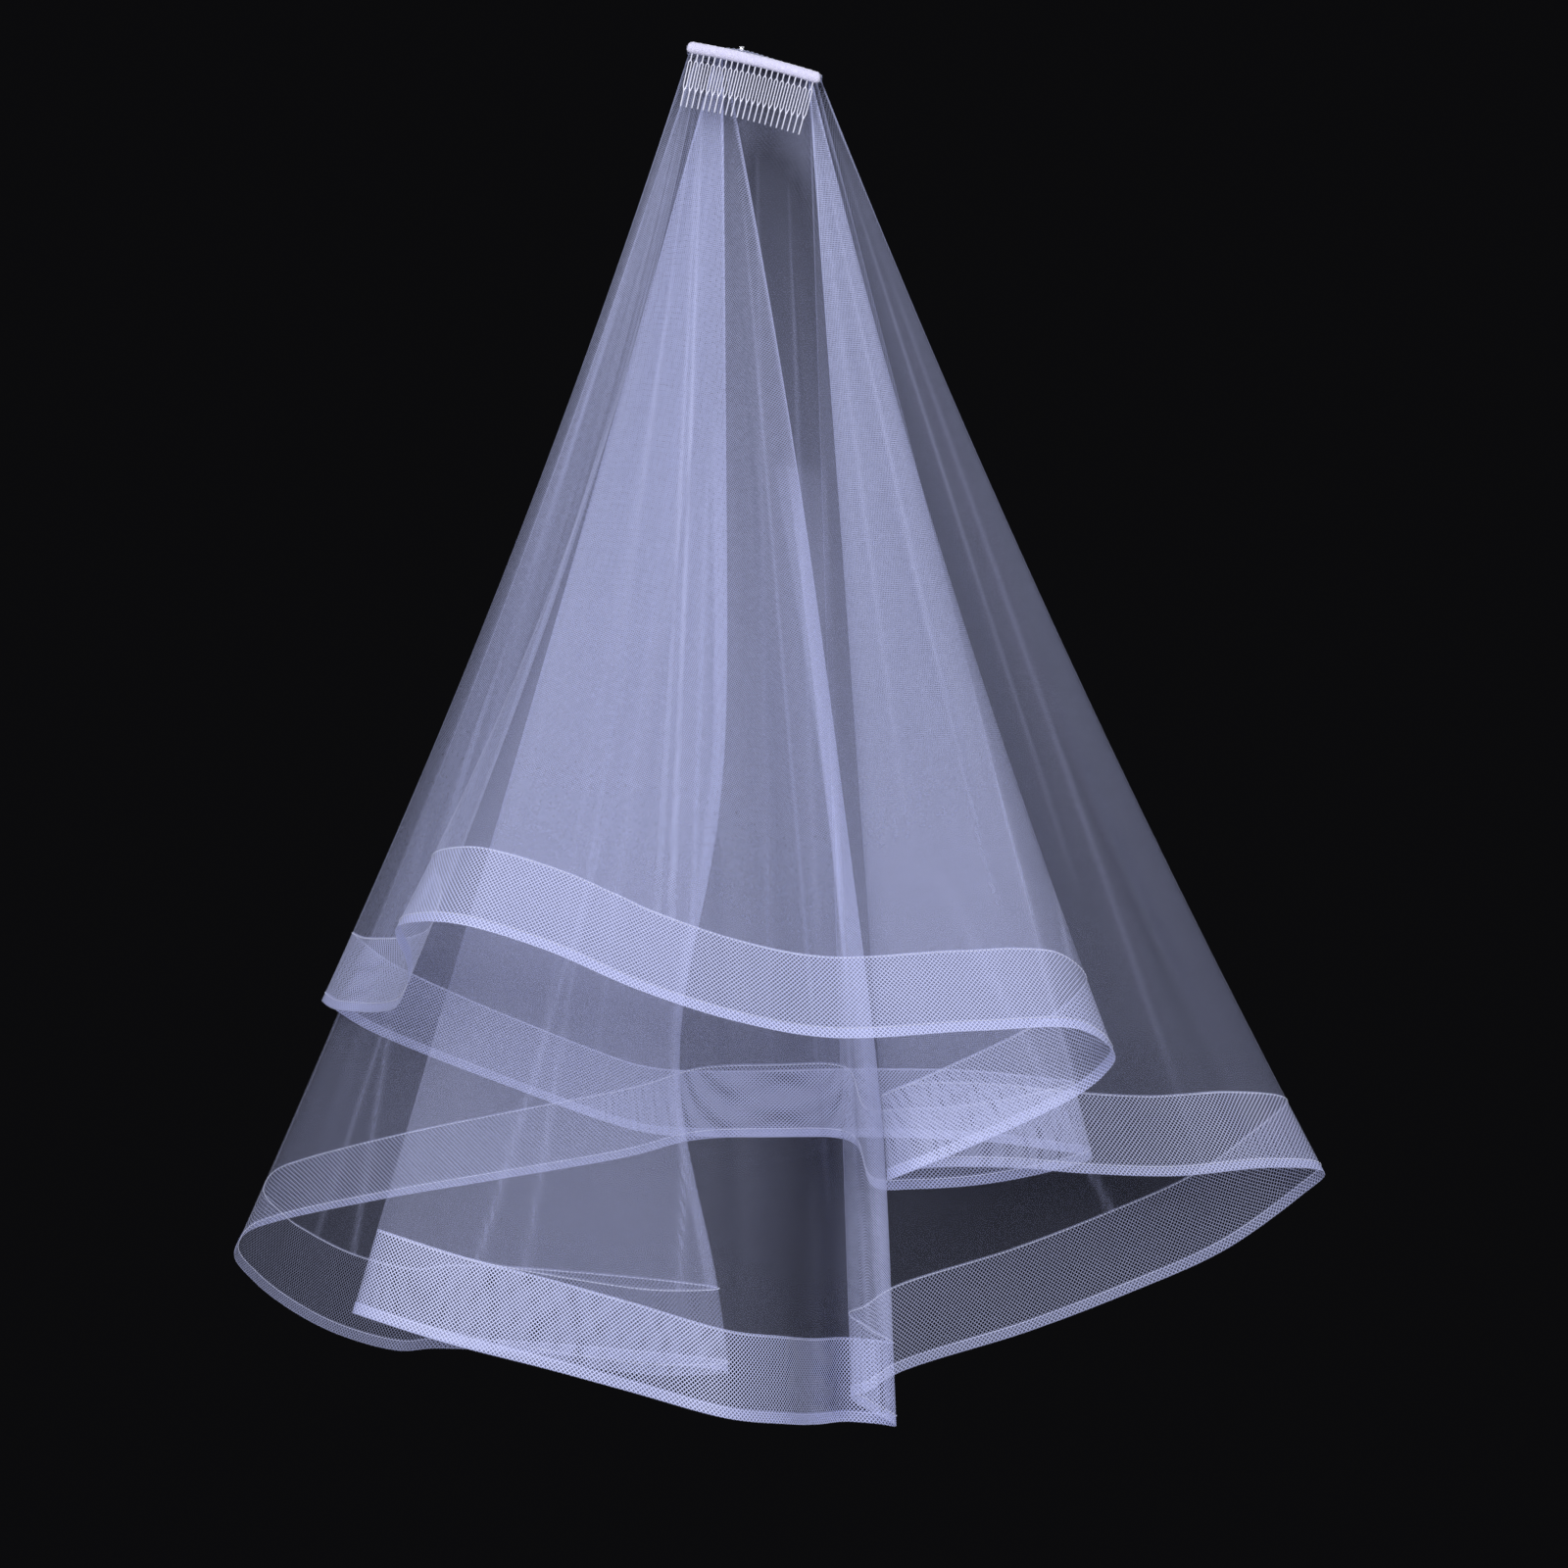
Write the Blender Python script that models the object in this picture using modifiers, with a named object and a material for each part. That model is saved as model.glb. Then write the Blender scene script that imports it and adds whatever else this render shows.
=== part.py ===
"""Two-tier bridal veil on a wire hair comb, hanging from a ball-headed pin.

One oval sheet of tulle is folded over and gathered along the comb's bar, so that its upper tier
ends 0.7 m down and its lower tier 0.95 m down. A band of horsehair braid, whose lower edge is
doubled, runs all round the hem. The cloth is one closed loop that folds back on itself ten times
on its way round: each layer lies behind the one before it, and a curl on the left brings the
last layer back to the first.

Units are metres, +Z is up and +Y points away from the front. The origin is where the pin is held.
"""

import math
from collections import namedtuple

import bmesh
import bpy
import numpy as np
from mathutils import Matrix, Vector

# Cloth and braid
TULLE_WALL = 0.0010
BRAID_WALL = 0.0020
BRAID_BODY_SHARE = 0.6
BRAID_WIDTH = 0.060
BRAID_EDGE = 0.008
BRAID_STEP = 0.0010
SEAM_GAP = 0.0003

# Comb
COMB_LENGTH = 0.094
COMB_MIDDLE = 0.0085
COMB_MIDDLE_DROP = 0.0085
COMB_TILT = math.radians(13.5)
COMB_ARCH = 0.0025
COMB_PLAN_BOW = 0.004
BAR_RADIUS = 0.0032
BAR_END_RADII = (0.45, 0.85)
BAR_END_LENGTH = BAR_RADIUS / 3
BAR_POINTS = 15
BAR_ROUNDNESS = 3
TOOTH_COUNT = 22
TOOTH_PITCH = 0.0042
TOOTH_LENGTH = 0.0395
TOOTH_FAN = math.radians(1.5)
TOOTH_LEAN = math.radians(7)
STEM_LENGTH = 0.0046
FORK_LENGTH = 0.0018
LEG_SPREAD = 0.00105
LEG_END = 0.024
LEG_JOIN = 0.028
STEM_RADIUS = 0.0005
LEG_RADIUS = 0.00042
WIRE_ROUNDNESS = 1
WELD = 1e-6

# Pin
PIN_BALL_RADIUS = 0.00175
PIN_SHANK_RADIUS = 0.0005
PIN_REACH = 0.030
PIN_BALL_LEAD = 0.0026
PIN_SEGMENTS = 10
BALL_SEGMENTS = 12
BALL_RINGS = 8

# Gathered top of the cloth, behind the bar
FIRST_LAYER_SETBACK = 0.0047
LAYER_PITCH = 0.0020
TURN_STRETCH = 0.11
TURN_SHARE = 0.4
FAN = 0.006
GATHER_TOP = 0.0008
GATHER_SLOPE = 0.36
GATHER_SOFTNESS = 0.010
HEADING_WALL = 0.0012
HEADING_LIFT = 0.0024
HEADING_CROWN = 0.0008
HEADING_BEYOND = 0.0012
HEADING_COLUMNS = 26
HEADING_ROWS = 4

# How the cloth swings out as it falls
DEPTH_POWER = 1.9
SWING_CENTRE = 0.77
SWING_WIDTH = 0.15
LEVEL_ROWS = (0.10, 0.24, 0.40)
ROWS_BELOW = 3

# How closely the hem is divided into columns
COLUMN_STEP = 0.034
COLUMN_TURN = math.radians(32)
TURN_COLUMNS = 2
FINE_STEPS = 60
LEAST_COLUMN = 1e-6
SEAM_NUDGE = 1e-3
HEM_SAMPLE = 0.01

Look = namedtuple("Look", "colour roughness metallic alpha")
LOOKS = {
    "Tulle": Look((0.80, 0.82, 1.0), 0.55, 0.0, 0.35),
    "Horsehair_braid": Look((0.84, 0.86, 1.0), 0.35, 0.0, 0.7),
    "Ribbon_wrap": Look((0.88, 0.86, 0.98), 0.6, 0.0, 1.0),
    "Comb_wire": Look((0.80, 0.81, 0.88), 0.2, 1.0, 1.0),
    "Pin_steel": Look((0.85, 0.85, 0.88), 0.15, 1.0, 1.0),
}

Fold = namedtuple("Fold", "name comb across depth drop bow swing level")
Hem = namedtuple("Hem", "across depth drop")

# Where each fold line leaves the comb, where it meets the hem, how far it hangs in before it
# swings out (bow, as a share), how far it swings sideways, and its place among the layers.
FOLDS = (
    Fold("front_left", -0.029, -0.228, -0.150, 0.616, 0.50, 0.0, 1.5),
    Fold("front_right", 0.049, 0.252, -0.145, 0.703, 0.20, 0.0, 1.5),
    Fold("turn_under", -0.016, 0.101, -0.088, 0.793, 0.0, 0.0, 2.5),
    Fold("right_point", 0.056, 0.415, 0.008, 0.798, 0.15, 0.0, 3.5),
    Fold("tail_left", 0.040, 0.077, -0.034, 0.951, 0.0, 0.0, 4.5),
    Fold("tail_right", 0.050, 0.109, -0.008, 0.975, 0.0, 0.0, 5.5),
    Fold("left_corner", -0.018, -0.266, -0.085, 0.884, 0.0, 0.0, 6.5),
    Fold("inner", -0.0135, -0.005, -0.020, 0.935, 0.0, -0.037, 7.5),
    Fold("left_point", -0.032, -0.386, 0.175, 0.877, 0.20, 0.0, 8.5),
    Fold("back_right", 0.0535, 0.257, 0.095, 0.796, 0.0, 0.0, 9.5),
    Fold("back_left", -0.038, -0.314, 0.135, 0.683, 0.20, 0.0, 9.5),
)

# The hem between each fold above and the next one, as points along each layer.
LAYERS = (
    (
        Hem(-0.203, -0.175, 0.612),
        Hem(-0.177, -0.185, 0.615),
        Hem(-0.125, -0.190, 0.631),
        Hem(-0.067, -0.190, 0.656),
        Hem(-0.002, -0.190, 0.677),
        Hem(0.062, -0.190, 0.688),
        Hem(0.159, -0.180, 0.684),
        Hem(0.229, -0.162, 0.685),
    ),
    (
        Hem(0.246, -0.130, 0.717),
        Hem(0.229, -0.120, 0.732),
        Hem(0.196, -0.113, 0.750),
        Hem(0.150, -0.108, 0.771),
        Hem(0.115, -0.102, 0.786),
    ),
    (
        Hem(0.123, -0.070, 0.787),
        Hem(0.188, -0.052, 0.788),
        Hem(0.242, -0.042, 0.793),
        Hem(0.305, -0.030, 0.796),
        Hem(0.376, -0.012, 0.792),
    ),
    (
        Hem(0.401, 0.024, 0.815),
        Hem(0.345, 0.020, 0.854),
        Hem(0.274, 0.010, 0.884),
        Hem(0.203, -0.008, 0.908),
        Hem(0.109, -0.038, 0.933),
        Hem(0.089, -0.047, 0.944),
    ),
    (Hem(0.090, -0.021, 0.962),),
    (
        Hem(0.096, 0.007, 0.976),
        Hem(0.074, 0.004, 0.974),
        Hem(0.053, -0.030, 0.970),
        Hem(0.030, -0.080, 0.961),
        Hem(-0.010, -0.115, 0.951),
        Hem(-0.076, -0.125, 0.931),
        Hem(-0.129, -0.122, 0.917),
        Hem(-0.203, -0.110, 0.900),
    ),
    (
        Hem(-0.208, -0.055, 0.907),
        Hem(-0.097, -0.048, 0.928),
        Hem(-0.049, -0.040, 0.934),
    ),
    (
        Hem(-0.108, -0.008, 0.926),
        Hem(-0.212, -0.015, 0.919),
        Hem(-0.240, 0.000, 0.923),
        Hem(-0.288, 0.040, 0.918),
        Hem(-0.329, 0.085, 0.907),
        Hem(-0.365, 0.135, 0.892),
    ),
    (
        Hem(-0.380, 0.205, 0.864),
        Hem(-0.360, 0.212, 0.857),
        Hem(-0.273, 0.195, 0.837),
        Hem(-0.190, 0.185, 0.822),
        Hem(-0.089, 0.180, 0.804),
        Hem(-0.039, 0.165, 0.790),
        Hem(0.020, 0.160, 0.787),
        Hem(0.074, 0.138, 0.788),
        Hem(0.091, 0.070, 0.815),
        Hem(0.124, 0.050, 0.814),
        Hem(0.175, 0.055, 0.811),
        Hem(0.224, 0.066, 0.803),
    ),
    (
        Hem(0.240, 0.128, 0.795),
        Hem(0.178, 0.170, 0.791),
        Hem(0.075, 0.215, 0.792),
        Hem(-0.008, 0.235, 0.794),
        Hem(-0.071, 0.240, 0.792),
        Hem(-0.107, 0.240, 0.783),
        Hem(-0.189, 0.230, 0.752),
        Hem(-0.247, 0.205, 0.727),
        Hem(-0.289, 0.175, 0.705),
    ),
    (
        Hem(-0.301, 0.090, 0.686),
        Hem(-0.274, 0.050, 0.686),
        Hem(-0.255, 0.010, 0.683),
        Hem(-0.241, -0.030, 0.676),
        Hem(-0.231, -0.060, 0.658),
        Hem(-0.229, -0.090, 0.642),
        Hem(-0.232, -0.120, 0.627),
    ),
)

# The two seams that part the upper tier from the lower one, each as a fold and a share of the
# way from it to the next fold.
Seam = namedtuple("Seam", "fold share")
BACK_SEAM = Seam("back_right", 0.45)
FRONT_SEAM = Seam("turn_under", 0.35)


class Drape:
    """The hanging cloth as a surface: u runs once round the hem, s from the comb to the hem."""

    def __init__(self):
        points, self.fold_at = [], []
        for fold, layer in zip(FOLDS, LAYERS):
            self.fold_at.append(len(points))
            points.append((fold.across, fold.depth, -fold.drop))
            points += [(p.across, p.depth, -p.drop) for p in layer]
        points.append(points[0])
        self.fold_at.append(len(points) - 1)
        self.points = np.array(points)
        steps = np.linalg.norm(np.diff(self.points, axis=0), axis=1)
        self.knots = np.concatenate([[0.0], np.cumsum(np.sqrt(steps))])
        self.tangents = self.hem_tangents()
        self.fold_knots = self.knots[self.fold_at]

    def hem_tangents(self):
        """The direction of the hem at each of its points, by parabolas through their neighbours."""
        knots, points = self.knots, self.points
        widths = np.diff(knots)[:, None]
        slopes = np.diff(points, axis=0) / widths
        before, after = np.roll(slopes, 1, axis=0), slopes
        width_before = np.roll(widths, 1, axis=0)
        inner = (before * widths + after * width_before) / (widths + width_before)
        return np.vstack([inner, inner[:1]])

    def seam_at(self, seam):
        """The hem's parameter at a seam."""
        k = [fold.name for fold in FOLDS].index(seam.fold)
        start, end = self.fold_knots[k], self.fold_knots[k + 1]
        return start + (end - start) * seam.share

    def hem(self, u):
        """The hem's lower edge."""
        u = u % self.knots[-1]
        k = min(int(np.searchsorted(self.knots, u, side="right")) - 1, len(self.knots) - 2)
        width = self.knots[k + 1] - self.knots[k]
        t = (u - self.knots[k]) / width
        ends = self.points[k], self.points[k + 1]
        slopes = self.tangents[k] * width, self.tangents[k + 1] * width
        return (
            (1 + 2 * t) * (1 - t) ** 2 * ends[0]
            + t * (1 - t) ** 2 * slopes[0]
            + t * t * (3 - 2 * t) * ends[1]
            + t * t * (t - 1) * slopes[1]
        )

    def between_folds(self, u):
        """The layer that u lies in: the folds before and after it, its number, u's share of it."""
        u = u % self.knots[-1]
        k = min(int(np.searchsorted(self.fold_knots, u, side="right")) - 1, len(FOLDS) - 1)
        start, end = self.fold_knots[k], self.fold_knots[k + 1]
        return FOLDS[k], FOLDS[(k + 1) % len(FOLDS)], k, (u - start) / (end - start)

    def gathered(self, u):
        """The cloth's top edge, folded to and fro behind the comb's bar with round turns.

        Gives the place along the comb and the layer's level.
        """
        start, end, k, t = self.between_folds(u)
        if k == len(FOLDS) - 1:
            across = start.comb + (end.comb - start.comb) * t
            return across, start.level + (end.level - start.level) * t
        radius = LAYER_PITCH / 2
        way = 1.0 if end.comb > start.comb else -1.0
        first, last = start.comb + way * radius, end.comb - way * radius
        flat = k + 1.0
        turning = self.turn_share(k)
        if t < turning:
            turn = 0.5 * math.pi * t / turning
            across = start.comb + way * radius * (1 - math.cos(turn))
            return across, start.level + (flat - start.level) * math.sin(turn)
        if t > 1 - turning:
            turn = 0.5 * math.pi * (1 - t) / turning
            across = end.comb - way * radius * (1 - math.cos(turn))
            return across, end.level + (flat - end.level) * math.sin(turn)
        return first + (last - first) * (t - turning) / (1 - 2 * turning), flat

    def turn_share(self, k):
        """The share of layer k that turns round each of the folds at its ends."""
        return min(TURN_SHARE, TURN_STRETCH / (self.fold_knots[k + 1] - self.fold_knots[k]))

    def point(self, u, s):
        """A point of the cloth's middle surface."""
        start, end, _, t = self.between_folds(u)
        across, level = self.gathered(u)
        top, hem = place_behind_bar(across, level), self.hem(u)
        fan = FAN * (level - len(FOLDS) / 2) * s * (1 - s) ** 2
        bow = start.bow + (end.bow - start.bow) * t
        swing = start.swing + (end.swing - start.swing) * t
        run = s - bow * s * (1 - s)
        sideways = swing * math.exp(-(((s - SWING_CENTRE) / SWING_WIDTH) ** 2))
        return np.array(
            (
                top[0] + (hem[0] - top[0]) * run + sideways,
                top[1] + (hem[1] - top[1]) * s**DEPTH_POWER + fan,
                top[2] + (hem[2] - top[2]) * s,
            )
        )

    def share_of(self, u, length):
        """The share of the fall, at the hem, that a length up from the hem takes."""
        last = self.point(u, 1.0) - self.point(u, 1.0 - HEM_SAMPLE)
        return length * HEM_SAMPLE / np.linalg.norm(last)

    def share_at_height(self, u, height):
        """The share of the fall at a height below the pin."""
        top, hem = self.point(u, 0.0)[2], self.point(u, 1.0)[2]
        return (top + height) / (top - hem)

    def columns(self, start, stop):
        """Where the columns of a stretch stand: evenly round each fold, closer where the hem turns."""
        first, last = self.seam_at(start), self.seam_at(stop)
        if last < first:
            last += self.knots[-1]
        fixed = {first, last}
        for k in range(2 * len(FOLDS)):
            layer = k % len(FOLDS)
            lap = self.knots[-1] * (k // len(FOLDS))
            begin, end = self.fold_knots[layer] + lap, self.fold_knots[layer + 1] + lap
            turning = self.turn_share(layer) * (end - begin)
            for j in range(TURN_COLUMNS + 1):
                fixed |= {begin + turning * j / TURN_COLUMNS, end - turning * j / TURN_COLUMNS}
        fixed = sorted(u for u in fixed if first <= u <= last)
        places = [first]
        for begin, end in zip(fixed, fixed[1:]):
            if end - begin < LEAST_COLUMN:
                continue
            fine = np.linspace(begin, end, FINE_STEPS + 1)
            steps = np.diff(np.array([self.hem(u) for u in fine]), axis=0)
            lengths = np.linalg.norm(steps, axis=1)
            ways = steps / lengths[:, None]
            turns = np.arccos(np.clip((ways[:-1] * ways[1:]).sum(axis=1), -1, 1))
            need = lengths / COLUMN_STEP
            need[1:] += turns / COLUMN_TURN
            along = np.concatenate([[0.0], np.cumsum(need)])
            count = max(1, round(along[-1]))
            spots = np.interp(np.linspace(0, along[-1], count + 1), along, fine)
            places += list(spots[1:])
        return places


def bar_height(across):
    """The height of the bar's middle line above the pin: tilted, and arched a little."""
    along = across - COMB_MIDDLE
    arch = COMB_ARCH * (1 - (2 * along / COMB_LENGTH) ** 2)
    return -COMB_MIDDLE_DROP - COMB_ARCH - along * math.tan(COMB_TILT) + arch


def bar_depth(across):
    """The bar curves round a head, so its ends lie further forward than its middle."""
    return -COMB_PLAN_BOW * (2 * (across - COMB_MIDDLE) / COMB_LENGTH) ** 2


def gather_height(across):
    """The height of the cloth's top edge: level left of the pin, and falling right of it."""
    softened = 0.5 * (across + math.hypot(across, GATHER_SOFTNESS))
    return GATHER_TOP - GATHER_SLOPE * softened


def place_behind_bar(across, level):
    """A point of the cloth's top edge, from its place along the comb and its layer's number."""
    setback = FIRST_LAYER_SETBACK + (level - 1) * LAYER_PITCH
    return np.array((across, bar_depth(across) + setback, gather_height(across)))


def new_material(name):
    """A plain Principled material, from the table of looks."""
    look = LOOKS[name]
    material = bpy.data.materials.new(name)
    material.use_nodes = True
    shader = material.node_tree.nodes["Principled BSDF"]
    shader.inputs["Base Color"].default_value = (*look.colour, 1.0)
    shader.inputs["Roughness"].default_value = look.roughness
    shader.inputs["Metallic"].default_value = look.metallic
    shader.inputs["Alpha"].default_value = look.alpha
    return material


def add_object(name, data, material, collection, parent):
    """A named object with its material, in the veil's collection and held by its origin."""
    data.materials.clear()
    data.materials.append(material)
    obj = bpy.data.objects.new(name, data)
    obj.parent = parent
    collection.objects.link(obj)
    return obj


def grid_mesh(name, columns, rows, place):
    """A grid whose point in column i and row j lies at place(i, j)."""
    bm = bmesh.new()
    bmesh.ops.create_grid(bm, x_segments=columns, y_segments=rows, size=0.5)
    for vertex in bm.verts:
        i = round((vertex.co.x + 0.5) * columns)
        j = round((vertex.co.y + 0.5) * rows)
        vertex.co = place(i, j)
    bmesh.ops.triangulate(bm, faces=bm.faces)
    bm.normal_update()
    mesh = bpy.data.meshes.new(name)
    bm.to_mesh(mesh)
    bm.free()
    mesh.shade_smooth()
    return mesh


def add_wall(obj, thickness):
    """Gives an open surface its wall, half to each side."""
    solidify = obj.modifiers.new("Wall", "SOLIDIFY")
    solidify.thickness = thickness
    solidify.offset = 0.0
    return solidify


def stretch_points(drape, start, stop, shares_at):
    """The points of a stretch of cloth by column and row, half a seam gap short at both ends."""
    columns = drape.columns(start, stop)
    nudge = SEAM_NUDGE * (columns[1] - columns[0])
    shares = [shares_at(u) for u in columns]
    points = [[drape.point(u, s) for s in row] for u, row in zip(columns, shares)]
    for end, inward in ((0, nudge), (-1, -nudge)):
        for j, s in enumerate(shares[end]):
            way = drape.point(columns[end] + inward, s) - points[end][j]
            points[end][j] = points[end][j] + way / np.linalg.norm(way) * SEAM_GAP / 2
    return points


def tulle_tier(name, drape, start, stop, material, collection, parent):
    """One tier of the tulle, from the gathers down to the top of the braid."""

    def shares_at(u):
        end = 1.0 - drape.share_of(u, BRAID_WIDTH + SEAM_GAP)
        shares = [0.0] + [drape.share_at_height(u, height) for height in LEVEL_ROWS]
        below = [shares[-1] + (end - shares[-1]) * j / ROWS_BELOW for j in range(1, ROWS_BELOW + 1)]
        return shares + below

    points = stretch_points(drape, start, stop, shares_at)
    mesh = grid_mesh(name, len(points) - 1, len(points[0]) - 1, lambda i, j: points[i][j])
    obj = add_object(name, mesh, material, collection, parent)
    add_wall(obj, TULLE_WALL)
    return obj


def braid_band(name, drape, start, stop, material, collection, parent):
    """One stretch of the horsehair braid: a flat band whose lower edge is doubled."""
    heights = (BRAID_WIDTH, BRAID_EDGE + BRAID_STEP, BRAID_EDGE, 0.0)

    def shares_at(u):
        return [1.0 - drape.share_of(u, height) for height in heights]

    points = stretch_points(drape, start, stop, shares_at)
    last = len(heights) - 1
    mesh = grid_mesh(name, len(points) - 1, last, lambda i, j: points[i][last - j])
    obj = add_object(name, mesh, material, collection, parent)
    thick = obj.vertex_groups.new(name="Doubled edge")
    rows = last + 1
    columns = len(points)
    doubled = [v.index for v in mesh.vertices if v.index < (rows // 2) * columns]
    thick.add(doubled, 1.0, "REPLACE")
    solidify = add_wall(obj, BRAID_WALL)
    solidify.vertex_group = thick.name
    solidify.thickness_vertex_group = BRAID_BODY_SHARE
    return obj


def gathered_heading(material, collection, parent):
    """The gathered fold of the sheet, which lies over the layers' tops and hangs on the pin."""
    first = min(fold.comb for fold in FOLDS) - HEADING_BEYOND
    last = max(fold.comb for fold in FOLDS) + HEADING_BEYOND
    back = FIRST_LAYER_SETBACK + LAYER_PITCH * (len(FOLDS) - 2)

    def place(i, j):
        across = first + (last - first) * i / HEADING_COLUMNS
        share = j / HEADING_ROWS
        depth = bar_depth(across) + FIRST_LAYER_SETBACK + (back - FIRST_LAYER_SETBACK) * share
        crown = HEADING_CROWN * 4 * share * (1 - share)
        return Vector((across, depth, gather_height(across) + HEADING_LIFT + crown))

    mesh = grid_mesh("Gathered_heading", HEADING_COLUMNS, HEADING_ROWS, place)
    obj = add_object("Gathered_heading", mesh, material, collection, parent)
    add_wall(obj, HEADING_WALL)
    return obj


def tube_curve(name, points, radius, radii, roundness):
    """A round bar or wire as a curve with filled caps; radii scale it from point to point."""
    curve = bpy.data.curves.new(name, "CURVE")
    curve.dimensions = "3D"
    curve.bevel_depth = radius
    curve.bevel_resolution = roundness
    curve.use_fill_caps = True
    spline = curve.splines.new("POLY")
    spline.points.add(len(points) - 1)
    for k, point in enumerate(points):
        spline.points[k].co = (*point, 1.0)
        spline.points[k].radius = radii[k]
    return curve


def comb_bar(material, collection, parent):
    """The comb's bar in its ribbon wrapping, with rounded ends."""
    start = COMB_MIDDLE - COMB_LENGTH / 2
    points = []
    for k in range(BAR_POINTS):
        across = start + COMB_LENGTH * k / (BAR_POINTS - 1)
        points.append((across, bar_depth(across), bar_height(across)))
    step = COMB_LENGTH / (BAR_POINTS - 1)
    inner = BAR_POINTS - 2 * len(BAR_END_RADII)
    radii = [*BAR_END_RADII, *[1.0] * inner, *reversed(BAR_END_RADII)]
    for end, near in ((0, 1), (-1, -2)):
        way = Vector(points[end]) - Vector(points[near])
        points[near] = tuple(Vector(points[end]) - way * (BAR_END_LENGTH / step))
    curve = tube_curve("Comb_bar", points, BAR_RADIUS, radii, BAR_ROUNDNESS)
    return add_object("Comb_bar", curve, material, collection, parent)


def as_closed_mesh(name, curve, collection):
    """A curve made a mesh object, with its caps welded on."""
    guide = bpy.data.objects.new(name + "_guide", curve)
    collection.objects.link(guide)
    bpy.context.view_layer.update()
    graph = bpy.context.evaluated_depsgraph_get()
    mesh = bpy.data.meshes.new_from_object(guide.evaluated_get(graph))
    bm = bmesh.new()
    bm.from_mesh(mesh)
    bmesh.ops.remove_doubles(bm, verts=bm.verts, dist=WELD)
    bm.to_mesh(mesh)
    bm.free()
    obj = bpy.data.objects.new(name, mesh)
    obj.matrix_world = guide.matrix_world
    collection.objects.link(obj)
    bpy.data.objects.remove(guide)
    return obj


def joined(base, added):
    """The mesh of two closed bodies joined by a Boolean."""
    union = base.modifiers.new("Join", "BOOLEAN")
    union.operation = "UNION"
    union.object = added
    bpy.context.view_layer.update()
    graph = bpy.context.evaluated_depsgraph_get()
    mesh = bpy.data.meshes.new_from_object(base.evaluated_get(graph))
    bpy.data.objects.remove(base)
    bpy.data.objects.remove(added)
    return mesh


def tooth_mesh(guides):
    """One tooth, hanging from the bar's middle: a stem that forks, and two legs that meet again."""
    top = -BAR_RADIUS - SEAM_GAP
    fork = top - STEM_LENGTH
    spread = fork - FORK_LENGTH
    tip = top - TOOTH_LENGTH
    side, thin = LEG_SPREAD, LEG_RADIUS / STEM_RADIUS
    whole = [(0, top), (0, fork), (-side, spread), (-side, top - LEG_END), (0, top - LEG_JOIN)]
    whole += [(0, tip + STEM_RADIUS), (0, tip)]
    radii = [1.0, 1.0, thin, thin, 1.0, 1.0, thin / 2]
    loop = [(0, fork), (side, spread), (side, top - LEG_END), (0, top - LEG_JOIN)]
    curves = []
    for name, path, scale in (("Tooth", whole, radii), ("Leg", loop, [thin] * len(loop))):
        points = [(x, 0.0, z) for x, z in path]
        curve = tube_curve(name, points, STEM_RADIUS, scale, WIRE_ROUNDNESS)
        curves.append(as_closed_mesh(name, curve, guides))
    mesh = joined(*curves)
    mesh.shade_smooth()
    return mesh


def comb_teeth(material, collection, guides, parent):
    """The row of teeth, square to the bar, leaning forward a little and fanned at the ends."""
    mesh = tooth_mesh(guides)
    middle = (TOOTH_COUNT - 1) / 2
    for k in range(TOOTH_COUNT):
        across = COMB_MIDDLE + (k - middle) * TOOTH_PITCH * math.cos(COMB_TILT)
        place = Vector((across, bar_depth(across), bar_height(across)))
        turn = COMB_TILT + TOOTH_FAN * (k - middle) / middle
        tooth = add_object(f"Comb_tooth_{k + 1:02d}", mesh, material, collection, parent)
        lean = Matrix.Rotation(-TOOTH_LEAN, 4, "X")
        tooth.matrix_local = Matrix.Translation(place) @ Matrix.Rotation(turn, 4, "Y") @ lean


def hanging_pin(material, collection, guides, parent):
    """The ball-headed pin: its shank passes over the bar and under the gathered heading."""
    ball_depth = bar_depth(0.0) - PIN_BALL_LEAD
    bm = bmesh.new()
    ball_place = Matrix.Translation((0, ball_depth, 0))
    bmesh.ops.create_uvsphere(
        bm,
        u_segments=BALL_SEGMENTS,
        v_segments=BALL_RINGS,
        radius=PIN_BALL_RADIUS,
        matrix=ball_place,
    )
    ball_mesh = bpy.data.meshes.new("Pin_ball")
    bm.to_mesh(ball_mesh)
    bm.free()
    ball = bpy.data.objects.new("Pin_ball", ball_mesh)
    guides.objects.link(ball)
    bm = bmesh.new()
    length = PIN_REACH - ball_depth
    place = Matrix.Translation((0, ball_depth + length / 2, 0)) @ Matrix.Rotation(math.pi / 2, 4, "X")
    bmesh.ops.create_cone(
        bm,
        cap_ends=True,
        segments=PIN_SEGMENTS,
        radius1=PIN_SHANK_RADIUS,
        radius2=PIN_SHANK_RADIUS,
        depth=length,
        matrix=place,
    )
    shank_mesh = bpy.data.meshes.new("Pin_shank")
    bm.to_mesh(shank_mesh)
    bm.free()
    shank = bpy.data.objects.new("Pin_shank", shank_mesh)
    guides.objects.link(shank)
    mesh = joined(ball, shank)
    mesh.shade_smooth()
    return add_object("Hanging_pin", mesh, material, collection, parent)


def clear_scene():
    """Removes what the scene holds."""
    for obj in list(bpy.data.objects):
        bpy.data.objects.remove(obj)


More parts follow.
